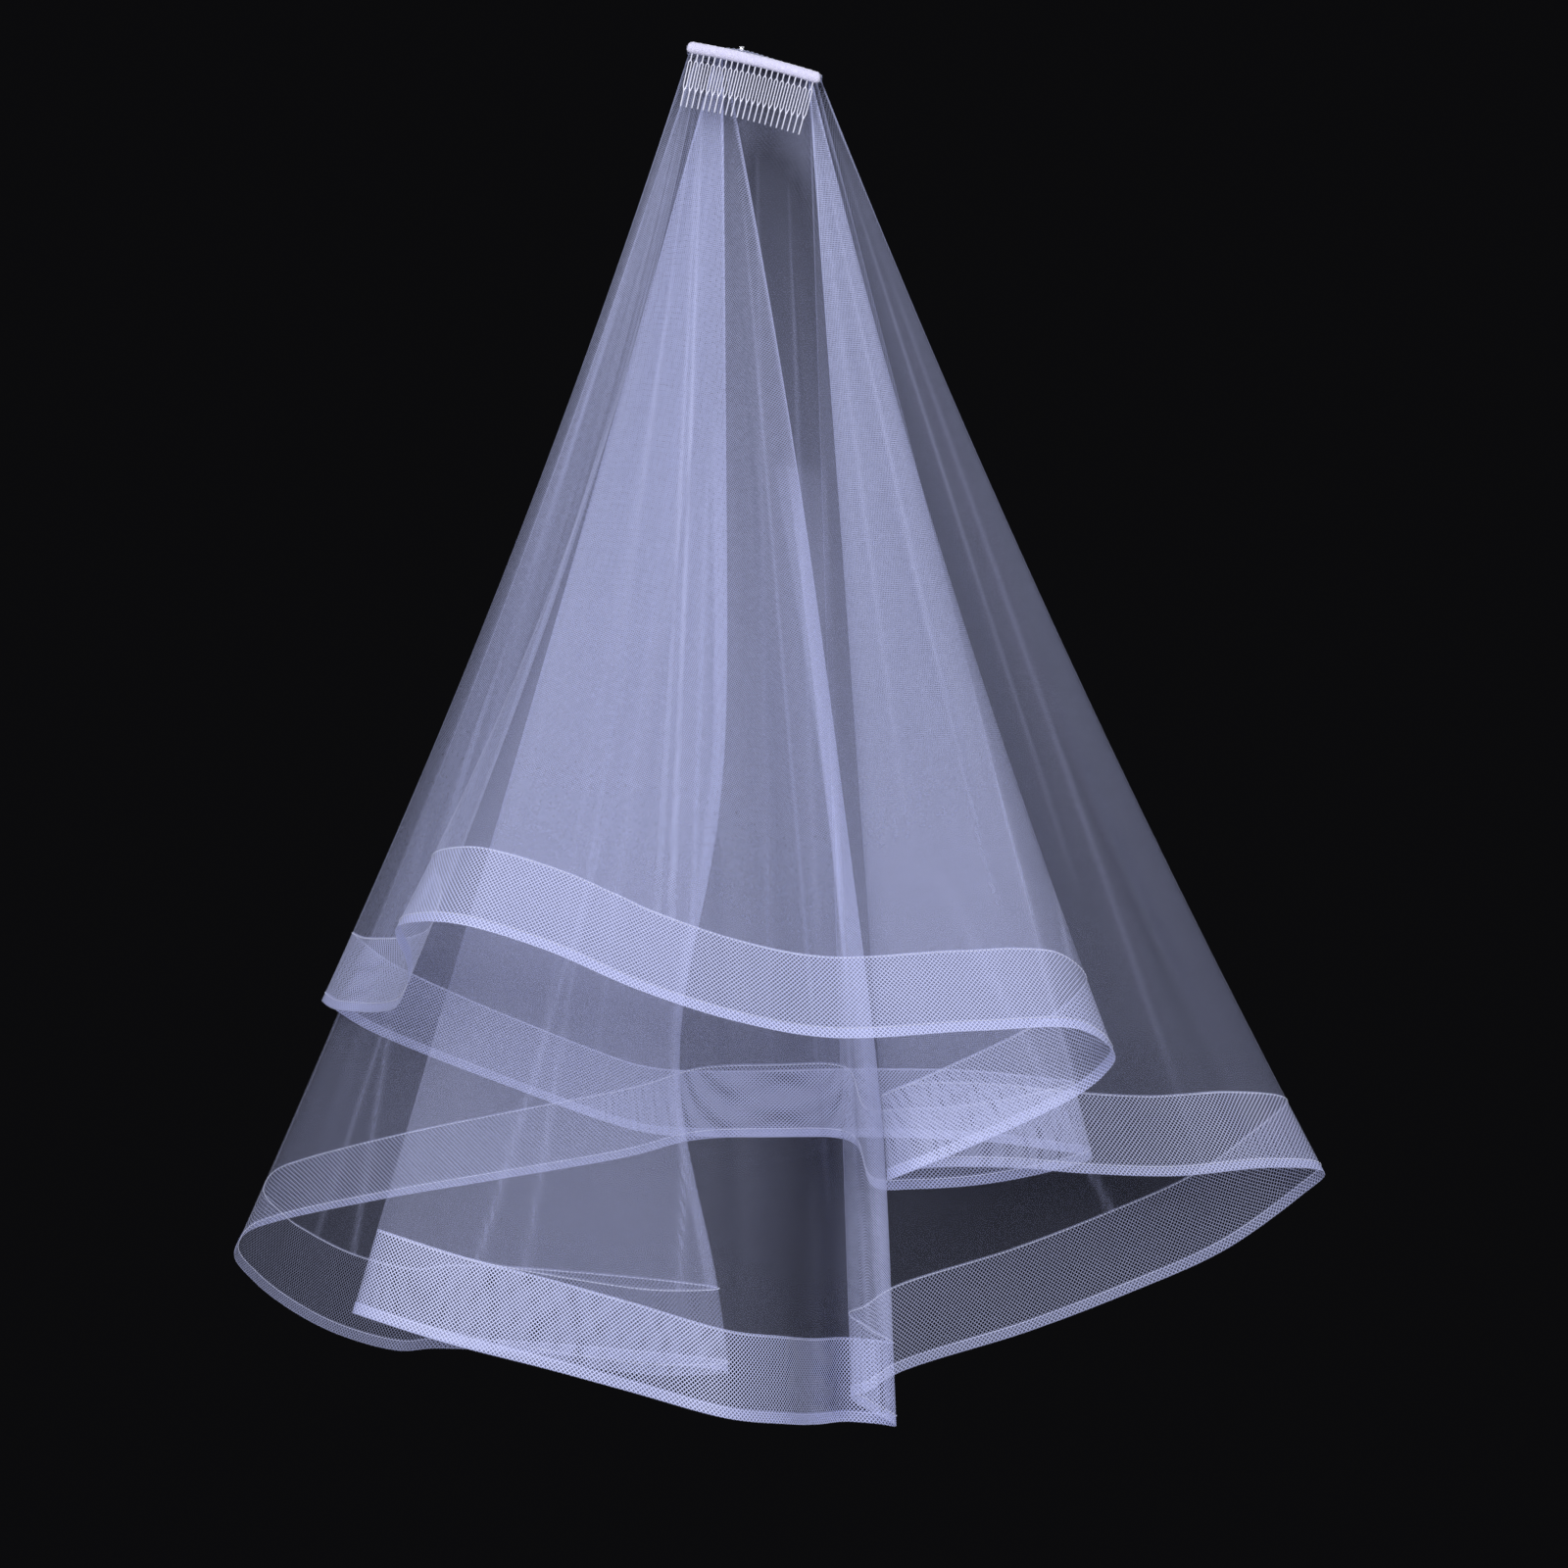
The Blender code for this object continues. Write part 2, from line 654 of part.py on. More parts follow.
def main():
    clear_scene()
    veil = bpy.data.collections.new("Bridal_veil")
    guides = bpy.data.collections.new("Guides")
    guides.hide_render = True
    for collection in (veil, guides):
        bpy.context.scene.collection.children.link(collection)

    tulle, braid, ribbon, wire, steel = [new_material(name) for name in LOOKS]

    held = bpy.data.objects.new("Where_the_pin_is_held", None)
    veil.objects.link(held)
    hung = bpy.data.objects.new("Veil_origin", None)
    hung.parent = held
    hung.location = (0, -PIN_REACH, 0)
    veil.objects.link(hung)

    drape = Drape()
    tulle_tier("Tulle_upper_tier", drape, BACK_SEAM, FRONT_SEAM, tulle, veil, hung)
    tulle_tier("Tulle_lower_tier", drape, FRONT_SEAM, BACK_SEAM, tulle, veil, hung)
    braid_band("Braid_upper_tier", drape, BACK_SEAM, FRONT_SEAM, braid, veil, hung)
    braid_band("Braid_lower_tier", drape, FRONT_SEAM, BACK_SEAM, braid, veil, hung)
    gathered_heading(tulle, veil, hung)
    comb_bar(ribbon, veil, hung)
    comb_teeth(wire, veil, guides, hung)
    hanging_pin(steel, veil, guides, hung)


main()
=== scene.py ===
"""A two-tier bridal veil on a hair comb, hung on a ball-headed pin.

The cloth is one closed loop of sheer net that folds back on itself ten times on its way round the
hem. Its sizes are given in the veil's own coordinates, with the pin's axis at x = 0, z = 0 and the
comb's plane near y = 0; the origin of the frame lies where the pin is held, behind them.
"""

import logging
import math
import random
from dataclasses import dataclass, field
from enum import Enum
from typing import NamedTuple

import bmesh
import bpy
import numpy as np
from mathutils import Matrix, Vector


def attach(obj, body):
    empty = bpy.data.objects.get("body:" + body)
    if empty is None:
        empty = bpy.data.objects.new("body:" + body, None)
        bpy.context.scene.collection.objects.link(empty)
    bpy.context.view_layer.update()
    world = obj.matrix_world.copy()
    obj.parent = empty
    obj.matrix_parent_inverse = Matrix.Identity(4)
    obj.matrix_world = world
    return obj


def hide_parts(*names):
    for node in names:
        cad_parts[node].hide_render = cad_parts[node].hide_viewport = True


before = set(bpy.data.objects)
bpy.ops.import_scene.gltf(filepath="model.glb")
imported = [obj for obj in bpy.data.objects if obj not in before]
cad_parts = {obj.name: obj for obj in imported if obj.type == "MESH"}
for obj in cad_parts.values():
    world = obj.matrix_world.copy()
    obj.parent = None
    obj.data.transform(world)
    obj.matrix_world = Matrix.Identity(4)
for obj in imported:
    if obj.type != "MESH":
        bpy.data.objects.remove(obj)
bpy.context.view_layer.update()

LOG = logging.getLogger("bridal_veil")
BODY = "root"
PIN_REACH = 0.030
PHOTO_SIDE = 1600


class Held(Enum):
    """How a sheet of the veil is held."""

    HUNG = "hung"
    GATHERED = "gathered"


class Fold(NamedTuple):
    """A fold line: where it leaves the comb and meets the hem, its bow, sway and level."""

    name: str
    comb: float
    across: float
    depth: float
    drop: float
    bow: float
    swing: float
    level: float


class Hem(NamedTuple):
    """A point of the hem's lower edge."""

    across: float
    depth: float
    drop: float


class Seam(NamedTuple):
    """A place on the hem: a fold and the share of the way from it to the next one."""

    fold: str
    share: float


class Crease(NamedTuple):
    """A long soft ridge (or a trough, with a negative height) down one layer of the cloth."""

    fold: str
    share: float
    lean: float
    width: float
    height: float
    start: float
    end: float


FOLDS = (
    Fold("front_left", -0.029, -0.228, -0.150, 0.616, 0.50, 0.0, 1.5),
    Fold("front_right", 0.049, 0.252, -0.145, 0.703, 0.20, 0.0, 1.5),
    Fold("turn_under", 0.047, 0.101, -0.088, 0.793, 0.0, 0.0, 2.5),
    Fold("right_point", 0.056, 0.415, 0.008, 0.798, 0.15, 0.0, 3.5),
    Fold("tail_left", 0.047, 0.077, -0.034, 0.951, 0.0, 0.0, 4.5),
    Fold("tail_right", -0.013, 0.109, -0.008, 0.975, -0.60, 0.005, 5.5),
    Fold("left_corner", -0.018, -0.266, -0.085, 0.884, 0.0, 0.0, 6.5),
    Fold("inner", -0.0135, -0.005, -0.020, 0.935, 0.0, -0.037, 7.5),
    Fold("left_point", -0.032, -0.386, 0.175, 0.877, 0.20, 0.0, 8.5),
    Fold("back_right", 0.0535, 0.257, 0.095, 0.796, 0.0, 0.0, 9.5),
    Fold("back_left", -0.038, -0.314, 0.135, 0.683, 0.20, 0.0, 9.5),
)

LAYERS = (
    (
        Hem(-0.203, -0.175, 0.612),
        Hem(-0.177, -0.185, 0.615),
        Hem(-0.125, -0.190, 0.631),
        Hem(-0.067, -0.190, 0.656),
        Hem(-0.002, -0.190, 0.677),
        Hem(0.062, -0.190, 0.688),
        Hem(0.159, -0.180, 0.684),
        Hem(0.229, -0.162, 0.685),
    ),
    (
        Hem(0.246, -0.130, 0.717),
        Hem(0.229, -0.120, 0.732),
        Hem(0.196, -0.113, 0.750),
        Hem(0.150, -0.108, 0.771),
        Hem(0.115, -0.102, 0.786),
    ),
    (
        Hem(0.123, -0.070, 0.787),
        Hem(0.188, -0.052, 0.788),
        Hem(0.242, -0.042, 0.793),
        Hem(0.305, -0.030, 0.796),
        Hem(0.376, -0.012, 0.792),
    ),
    (
        Hem(0.401, 0.024, 0.815),
        Hem(0.345, 0.020, 0.854),
        Hem(0.274, 0.010, 0.884),
        Hem(0.203, -0.008, 0.908),
        Hem(0.109, -0.038, 0.933),
        Hem(0.089, -0.047, 0.944),
    ),
    (Hem(0.090, -0.021, 0.962),),
    (
        Hem(0.096, 0.007, 0.976),
        Hem(0.074, 0.004, 0.974),
        Hem(0.053, -0.030, 0.970),
        Hem(0.030, -0.080, 0.961),
        Hem(-0.010, -0.115, 0.951),
        Hem(-0.076, -0.125, 0.931),
        Hem(-0.129, -0.122, 0.917),
        Hem(-0.203, -0.110, 0.900),
    ),
    (
        Hem(-0.208, -0.055, 0.907),
        Hem(-0.097, -0.048, 0.928),
        Hem(-0.049, -0.040, 0.934),
    ),
    (
        Hem(-0.108, -0.008, 0.926),
        Hem(-0.212, -0.015, 0.919),
        Hem(-0.240, 0.000, 0.923),
        Hem(-0.288, 0.040, 0.918),
        Hem(-0.329, 0.085, 0.907),
        Hem(-0.365, 0.135, 0.892),
    ),
    (
        Hem(-0.380, 0.205, 0.864),
        Hem(-0.360, 0.212, 0.857),
        Hem(-0.273, 0.195, 0.837),
        Hem(-0.190, 0.185, 0.822),
        Hem(-0.089, 0.180, 0.804),
        Hem(-0.039, 0.165, 0.790),
        Hem(0.020, 0.160, 0.787),
        Hem(0.079, 0.138, 0.788),
        Hem(0.096, 0.070, 0.815),
        Hem(0.124, 0.050, 0.814),
        Hem(0.175, 0.055, 0.811),
        Hem(0.224, 0.066, 0.803),
    ),
    (
        Hem(0.240, 0.128, 0.795),
        Hem(0.178, 0.170, 0.791),
        Hem(0.075, 0.215, 0.792),
        Hem(-0.008, 0.235, 0.794),
        Hem(-0.071, 0.240, 0.792),
        Hem(-0.107, 0.240, 0.783),
        Hem(-0.189, 0.230, 0.752),
        Hem(-0.247, 0.205, 0.727),
        Hem(-0.289, 0.175, 0.705),
    ),
    (
        Hem(-0.301, 0.090, 0.686),
        Hem(-0.274, 0.050, 0.686),
        Hem(-0.255, 0.010, 0.683),
        Hem(-0.241, -0.030, 0.676),
        Hem(-0.231, -0.060, 0.658),
        Hem(-0.229, -0.090, 0.642),
        Hem(-0.232, -0.120, 0.627),
    ),
)

BACK_SEAM = Seam("back_right", 0.45)
FRONT_SEAM = Seam("turn_under", 0.35)


class ClosenessAndShade(NamedTuple):
    """How close one layer's threads look at the comb, halfway, above the braid and on it, together with
    the layer's painted light and shade.
    """

    fold: str
    top: float
    middle: float
    low: float
    braid: float


# Small gathers and a slanting hang draw the threads together; 1 is net seen square on. The values are
# also painted light and shade: raised on layers that face the lamps and lowered on layers in the shade
# of others, so that these look brighter or darker.
CLOSENESS_AND_SHADE = (
    ClosenessAndShade("front_left", 0.15, 0.88, 1.40, 1.25),
    ClosenessAndShade("front_right", 3.60, 2.30, 1.30, 1.10),
    ClosenessAndShade("turn_under", 1.00, 1.05, 0.90, 0.95),
    ClosenessAndShade("right_point", 0.55, 0.60, 0.48, 0.55),
    ClosenessAndShade("tail_left", 0.00, 0.30, 2.20, 0.80),
    ClosenessAndShade("tail_right", 1.80, 2.10, 1.10, 1.40),
    ClosenessAndShade("left_corner", 3.00, 1.65, 1.10, 0.30),
    ClosenessAndShade("inner", 2.20, 1.50, 1.00, 0.45),
    ClosenessAndShade("left_point", 0.15, 0.75, 1.10, 0.90),
    ClosenessAndShade("back_right", 0.15, 0.80, 1.25, 1.20),
    ClosenessAndShade("back_left", 2.30, 2.05, 1.70, 1.40),
)

CREASES = (
    Crease("front_left", 0.12, 0.030, 0.016, 0.0045, 0.06, 0.95),
    Crease("front_left", 0.36, 0.020, 0.010, 0.0035, 0.30, 0.98),
    Crease("front_left", 0.42, 0.024, 0.009, -0.0030, 0.25, 0.92),
    Crease("front_left", 0.70, -0.030, 0.018, 0.0030, 0.10, 0.75),
    Crease("front_left", 0.88, 0.020, 0.014, -0.0040, 0.20, 0.97),
    Crease("front_right", 0.45, 0.015, 0.016, 0.0030, 0.30, 0.95),
    Crease("turn_under", 0.62, -0.030, 0.020, 0.0040, 0.35, 0.96),
    Crease("turn_under", 0.84, 0.040, 0.014, -0.0050, 0.55, 0.98),
    Crease("right_point", 0.14, -0.035, 0.012, 0.0050, 0.60, 0.99),
    Crease("right_point", 0.50, 0.030, 0.022, -0.0035, 0.20, 0.90),
    Crease("tail_right", 0.45, -0.050, 0.014, 0.0040, 0.30, 0.95),
    Crease("tail_right", 0.62, -0.020, 0.018, -0.0040, 0.40, 0.97),
    Crease("left_corner", 0.45, 0.020, 0.014, 0.0035, 0.35, 0.95),
    Crease("inner", 0.50, -0.030, 0.022, 0.0040, 0.30, 0.96),
    Crease("inner", 0.82, -0.015, 0.014, -0.0040, 0.40, 0.98),
    Crease("left_point", 0.30, 0.030, 0.022, 0.0045, 0.25, 0.93),
    Crease("left_point", 0.62, -0.030, 0.018, -0.0035, 0.35, 0.97),
    Crease("back_right", 0.30, 0.030, 0.024, 0.0045, 0.20, 0.95),
    Crease("back_right", 0.58, -0.025, 0.018, -0.0040, 0.30, 0.97),
    Crease("back_right", 0.80, 0.030, 0.020, 0.0040, 0.25, 0.94),
    Crease("back_left", 0.35, -0.020, 0.014, -0.0035, 0.40, 0.97),
    Crease("back_left", 0.65, 0.015, 0.012, 0.0035, 0.35, 0.95),
)


class Line(NamedTuple):
    """A thin sharp pleat that runs straight down one layer, from the comb towards the hem."""

    fold: str
    comb: float
    across: float
    start: float
    end: float
    strength: float


LINES = (
    Line("front_left", -0.0270, -0.0466, 0.04, 1.05, 0.85),
    Line("front_left", -0.0285, -0.0566, 0.02, 1.02, 0.60),
    Line("front_left", -0.0280, -0.1080, 0.03, 0.70, 0.40),
    Line("front_left", 0.0440, 0.1900, 0.05, 0.90, 0.45),
    Line("front_left", 0.0460, 0.1300, 0.04, 0.80, 0.35),
    Line("turn_under", 0.0530, 0.3000, 0.05, 0.75, 0.30),
    Line("right_point", 0.0540, 0.3500, 0.10, 1.00, 0.22),
    Line("tail_left", 0.0300, 0.0930, 0.10, 1.05, 0.50),
    Line("left_corner", -0.0150, -0.0450, 0.30, 1.05, 0.60),
    Line("left_corner", -0.0170, -0.1600, 0.45, 1.00, 0.45),
    Line("tail_right", -0.0080, 0.0750, 0.10, 0.85, 0.45),
    Line("inner", -0.0280, -0.3300, 0.15, 1.00, 0.50),
    Line("left_point", -0.0200, -0.1700, 0.10, 0.95, 0.40),
    Line("left_point", 0.0300, 0.0600, 0.10, 0.95, 0.40),
    Line("back_right", 0.0100, 0.0200, 0.08, 0.95, 0.45),
    Line("back_right", -0.0100, -0.1200, 0.08, 0.95, 0.45),
    Line("back_right", -0.0340, -0.2600, 0.05, 0.90, 0.45),
    Line("turn_under", 0.0520, 0.2500, 0.55, 1.00, 0.60),
    Line("right_point", -0.1200, 0.2900, 0.62, 1.00, 0.55),
    Line("front_left", 0.1300, 0.2300, 0.70, 1.04, 0.60),
    Line("left_corner", 0.0600, -0.2000, 0.55, 1.04, 0.55),
    Line("inner", -0.1400, -0.2900, 0.60, 1.04, 0.50),
)


class Strip(NamedTuple):
    """A narrow strip beside a fold where the net lies double: its width, reach and strength."""

    fold: str
    width: float
    start: float
    end: float
    strength: float


STRIPS = (
    Strip("inner", 0.0110, 0.28, 1.00, 0.34),
    Strip("tail_right", 0.0130, 0.30, 1.05, 0.50),
    Strip("front_left", 0.0045, 0.30, 1.02, 0.22),
    Strip("left_corner", 0.0050, 0.30, 1.02, 0.22),
    Strip("back_right", 0.0040, 0.15, 0.95, 0.15),
)


@dataclass
class Drape:
    """The hanging cloth as a surface: u runs once round the hem, s from the comb to the hem.

    Sizes are in metres; the levels count the layers from the front one, 1, to the back one, 10.
    """

    comb_middle: float = 0.0085
    comb_length: float = 0.094
    comb_plan_bow: float = 0.004
    setback: float = 0.0047
    layer_pitch: float = 0.0020
    turn_stretch: float = 0.11
    turn_share: float = 0.4
    fan: float = 0.006
    gather_top: float = 0.0008
    gather_slope: float = 0.36
    gather_softness: float = 0.010
    depth_power: float = 1.9
    swing_centre: float = 0.77
    swing_width: float = 0.15
    flute_waves: tuple[float, ...] = (0.047, 0.083)
    flute_share: float = 0.045
    seed: int = 11
    middle_share: float = 0.45
    low_share: float = 0.80
    comb_cover: float = 0.45
    comb_reach: float = 0.10
    line_width: float = 0.0009
    line_spread: float = 0.0011
    fold_width: float = 0.0016
    strip_edge: float = 0.0012
    fold_columns: tuple[float, ...] = (-0.0026, -0.0013, 0.0, 0.0013, 0.0026)
    points: np.ndarray = field(init=False)
    knots: np.ndarray = field(init=False)
    tangents: np.ndarray = field(init=False)
    fold_knots: np.ndarray = field(init=False)
    fine: np.ndarray = field(init=False)
    fine_along: np.ndarray = field(init=False)

    def __post_init__(self) -> None:
        """Lays out the hem's points and the directions between them."""
        points, fold_at = [], []
        for fold, layer in zip(FOLDS, LAYERS):
            fold_at.append(len(points))
            points.append((fold.across, fold.depth, -fold.drop))
            points += [(p.across, p.depth, -p.drop) for p in layer]
        points.append(points[0])
        fold_at.append(len(points) - 1)
        self.points = np.array(points)
        steps = np.linalg.norm(np.diff(self.points, axis=0), axis=1)
        self.knots = np.concatenate([[0.0], np.cumsum(np.sqrt(steps))])
        widths = np.diff(self.knots)[:, None]
        slopes = np.diff(self.points, axis=0) / widths
        before, width_before = np.roll(slopes, 1, axis=0), np.roll(widths, 1, axis=0)
        inner = (before * widths + slopes * width_before) / (widths + width_before)
        self.tangents = np.vstack([inner, inner[:1]])
        self.fold_knots = self.knots[fold_at]
        self.fine = np.linspace(0.0, self.knots[-1], 12001)
        lengths = np.linalg.norm(np.diff(self.hem(self.fine), axis=0), axis=1)
        self.fine_along = np.concatenate([[0.0], np.cumsum(lengths)])

    def seam_at(self, seam: Seam) -> float:
        """The hem's parameter at a seam."""
        k = [fold.name for fold in FOLDS].index(seam.fold)
        start, end = self.fold_knots[k], self.fold_knots[k + 1]
        return float(start + (end - start) * seam.share)

    def hem(self, u: np.ndarray) -> np.ndarray:
        """The hem's lower edge.

        Args:
            u: Places round the hem.

        Returns:
            A point for each place, in the veil's coordinates.
        """
        u = np.mod(u, self.knots[-1])
        k = np.clip(np.searchsorted(self.knots, u, side="right") - 1, 0, len(self.knots) - 2)
        width = (self.knots[k + 1] - self.knots[k])[:, None]
        t = ((u - self.knots[k])[:, None]) / width
        return (
            (1 + 2 * t) * (1 - t) ** 2 * self.points[k]
            + t * (1 - t) ** 2 * self.tangents[k] * width
            + t * t * (3 - 2 * t) * self.points[k + 1]
            + t * t * (t - 1) * self.tangents[k + 1] * width
        )

    def along(self, u: np.ndarray) -> np.ndarray:
        """The length of hem from its start to each place; past one lap it goes on counting."""
        lap = self.knots[-1]
        inside = np.interp(np.mod(u, lap), self.fine, self.fine_along)
        return inside + np.floor(u / lap) * self.fine_along[-1]

    def layer_at(self, u: np.ndarray) -> tuple[np.ndarray, np.ndarray]:
        """The number of the layer at each place, counted from nought, and the share of it."""
        u = np.mod(u, self.knots[-1])
        k = np.clip(np.searchsorted(self.fold_knots, u, side="right") - 1, 0, len(FOLDS) - 1)
        start, end = self.fold_knots[k], self.fold_knots[k + 1]
        return k, (u - start) / (end - start)

    def gathered(self, u: np.ndarray) -> tuple[np.ndarray, np.ndarray]:
        """The place along the comb and the level of the cloth's top edge, with round turns."""
        k, t = self.layer_at(u)
        comb = np.array([fold.comb for fold in FOLDS])
        levels = np.array([fold.level for fold in FOLDS])
        start, end = comb[k], comb[(k + 1) % len(FOLDS)]
        level_start, level_end = levels[k], levels[(k + 1) % len(FOLDS)]
        radius = self.layer_pitch / 2
        way = np.where(end > start, 1.0, -1.0)
        flat = k + 1.0
        span = self.fold_knots[k + 1] - self.fold_knots[k]
        turning = np.minimum(self.turn_share, self.turn_stretch / span)
        first, last = start + way * radius, end - way * radius
        middle = first + (last - first) * (t - turning) / (1 - 2 * turning)
        opening = 0.5 * math.pi * np.clip(t / turning, 0, 1)
        closing = 0.5 * math.pi * np.clip((1 - t) / turning, 0, 1)
        across = np.where(t < turning, start + way * radius * (1 - np.cos(opening)), middle)
        across = np.where(t > 1 - turning, end - way * radius * (1 - np.cos(closing)), across)
        level = np.where(t < turning, level_start + (flat - level_start) * np.sin(opening), flat)
        closed = level_end + (flat - level_end) * np.sin(closing)
        level = np.where(t > 1 - turning, closed, level)
        is_curl = k == len(FOLDS) - 1
        across = np.where(is_curl, start + (end - start) * t, across)
        level = np.where(is_curl, level_start + (level_end - level_start) * t, level)
        return across, level

    def bar_depth(self, across: np.ndarray) -> np.ndarray:
        """The bar curves round a head, so its ends lie further forward than its middle."""
        return -self.comb_plan_bow * (2 * (across - self.comb_middle) / self.comb_length) ** 2

    def gather_height(self, across: np.ndarray) -> np.ndarray:
        """The height of the cloth's top edge: level left of the pin, and falling right of it."""
        softened = 0.5 * (across + np.hypot(across, self.gather_softness))
        return self.gather_top - self.gather_slope * softened

    def top(self, u: np.ndarray) -> tuple[np.ndarray, np.ndarray]:
        """The points of the cloth's top edge and their levels."""
        across, level = self.gathered(u)
        depth = self.bar_depth(across) + self.setback + (level - 1) * self.layer_pitch
        return np.stack([across, depth, self.gather_height(across)], axis=1), level

    def smooth_surface(self, u: np.ndarray, s: np.ndarray) -> np.ndarray:
        """The cloth without its creases.

        Args:
            u: Places round the hem, one for each column.
            s: Shares of the fall, a row for each column.

        Returns:
            The points, by column and row.
        """
        k, t = self.layer_at(u)
        bows = np.array([fold.bow for fold in FOLDS])
        swings = np.array([fold.swing for fold in FOLDS])
        after = (k + 1) % len(FOLDS)
        bow = (bows[k] + (bows[after] - bows[k]) * t)[:, None]
        swing = (swings[k] + (swings[after] - swings[k]) * t)[:, None]
        top, level = self.top(u)
        hem = self.hem(u)
        fan = self.fan * (level[:, None] - len(FOLDS) / 2) * s * (1 - s) ** 2
        run = s - bow * s * (1 - s)
        sideways = swing * np.exp(-(((s - self.swing_centre) / self.swing_width) ** 2))
        x = top[:, :1] + (hem[:, :1] - top[:, :1]) * run + sideways
        y = top[:, 1:2] + (hem[:, 1:2] - top[:, 1:2]) * s**self.depth_power + fan
        z = top[:, 2:] + (hem[:, 2:] - top[:, 2:]) * s
        return np.stack([x, y, z], axis=2)

    def relief(self, u: np.ndarray, s: np.ndarray) -> np.ndarray:
        """How far the cloth stands out from its smooth surface: soft flutes and creases."""
        draw = random.Random(self.seed)
        along = self.along(u)[:, None]
        lap = self.fine_along[-1]
        out = np.zeros_like(s)
        for wave in self.flute_waves:
            turns = round(lap / wave)
            phase, slow = draw.uniform(0, math.tau), draw.uniform(0, math.tau)
            ripple = np.sin(math.tau * turns * along / lap + phase + 1.7 * np.sin(3.1 * s + slow))
            patches = 0.6 + 0.4 * np.sin(math.tau * 9 * along / lap + slow + 2.0 * s)
            out += self.flute_share * wave * s * (1 - s) ** 1.6 * ripple * patches
        for crease in CREASES:
            middle = float(self.along(np.array([self.seam_at(Seam(crease.fold, crease.share))]))[0])
            away = along - middle - crease.lean * (s - crease.end)
            away = (away + lap / 2) % lap - lap / 2
            width = crease.width * (0.25 + 0.75 * s)
            share = np.clip((s - crease.start) / (crease.end - crease.start), 0, 1)
            out += crease.height * np.sin(math.pi * share) ** 0.7 * np.exp(-((away / width) ** 2))
        return out

    def closeness(self, u: np.ndarray, s: np.ndarray) -> np.ndarray:
        """How close the net's threads look at each point, from the layers' table, thinned near the
        comb; it also carries the table's painted light and shade.
        """
        k, _ = self.layer_at(u)
        rows = np.array([(row.top, row.middle, row.low) for row in CLOSENESS_AND_SHADE])[k]
        first = np.clip(s / self.middle_share, 0, 1)
        second = np.clip((s - self.middle_share) / (self.low_share - self.middle_share), 0, 1)
        value = rows[:, :1] + (rows[:, 1:2] - rows[:, :1]) * first
        value = value + (rows[:, 2:] - rows[:, 1:2]) * second
        near_comb = np.clip(s / self.comb_reach, 0, 1)
        return value * (self.comb_cover + (1 - self.comb_cover) * near_comb)

    def pleat_lines(self, u: np.ndarray, s: np.ndarray) -> np.ndarray:
        """How near each point lies to a sharp pleat or a fold line, from nought to one."""
        k, _ = self.layer_at(u)
        places = self.smooth_surface(u, s)[:, :, 0]
        names = [fold.name for fold in FOLDS]
        near = np.zeros_like(s)
        for line in LINES:
            target = line.comb + (line.across - line.comb) * s
            away = (places - target) / (self.line_width + self.line_spread * s)
            share = np.clip((s - line.start) / (line.end - line.start), 0, 1)
            shown = line.strength * np.sin(math.pi * share) ** 0.4 * np.exp(-(away**2))
            near = np.where((k == names.index(line.fold))[:, None], np.maximum(near, shown), near)
        along = self.along(u)[:, None]
        lap = self.fine_along[-1]
        for knot in self.fold_knots[:-1]:
            apart = along - float(self.along(np.array([knot]))[0])
            apart = np.abs((apart + lap / 2) % lap - lap / 2) * np.maximum(s, 0.05)
            near = np.maximum(near, np.clip(1 - apart / self.fold_width, 0, 1))
        for strip in STRIPS:
            knot = self.fold_knots[names.index(strip.fold)]
            apart = along - float(self.along(np.array([knot]))[0])
            apart = np.abs((apart + lap / 2) % lap - lap / 2) * np.maximum(s, 0.05)
            share = np.clip((s - strip.start) / (strip.end - strip.start), 0, 1)
            shown = strip.strength * np.sin(math.pi * share) ** 0.3
            inside = np.clip((strip.width - apart) / self.strip_edge, 0, 1)
            near = np.maximum(near, shown * inside)
        return near

    def surface(self, u: np.ndarray, s: np.ndarray, lift: float = 0.0) -> np.ndarray:
        """The cloth with its flutes and creases, in the frame.

        Args:
            u: Places round the hem, one for each column.
            s: Shares of the fall, a row for each column.
            lift: How far the points are moved out from the cloth.

        Returns:
            The points, by column and row.
        """
        small = 1e-4
        points = self.smooth_surface(u, s)
        beside = self.smooth_surface(u + small, s) - points
        below = self.smooth_surface(u, s + small) - points
        outward = np.cross(below, beside)
        outward /= np.maximum(np.linalg.norm(outward, axis=2, keepdims=True), 1e-15)
        points = points + outward * (self.relief(u, s) + lift)[:, :, None]
        return points - np.array((0.0, PIN_REACH, 0.0))

    def share_of(self, u: np.ndarray, length: float) -> np.ndarray:
        """The share of the fall, at the hem, that a length up from the hem takes."""
        small = 0.01
        ends = self.smooth_surface(u, np.tile((1.0 - small, 1.0), (len(u), 1)))
        return length * small / np.linalg.norm(ends[:, 1] - ends[:, 0], axis=1)

    def fall(self, u: np.ndarray) -> np.ndarray:
        """The length of cloth from the comb to the hem."""
        line = self.smooth_surface(u, np.tile(np.linspace(0, 1, 9), (len(u), 1)))
        return np.linalg.norm(np.diff(line, axis=1), axis=2).sum(axis=1)

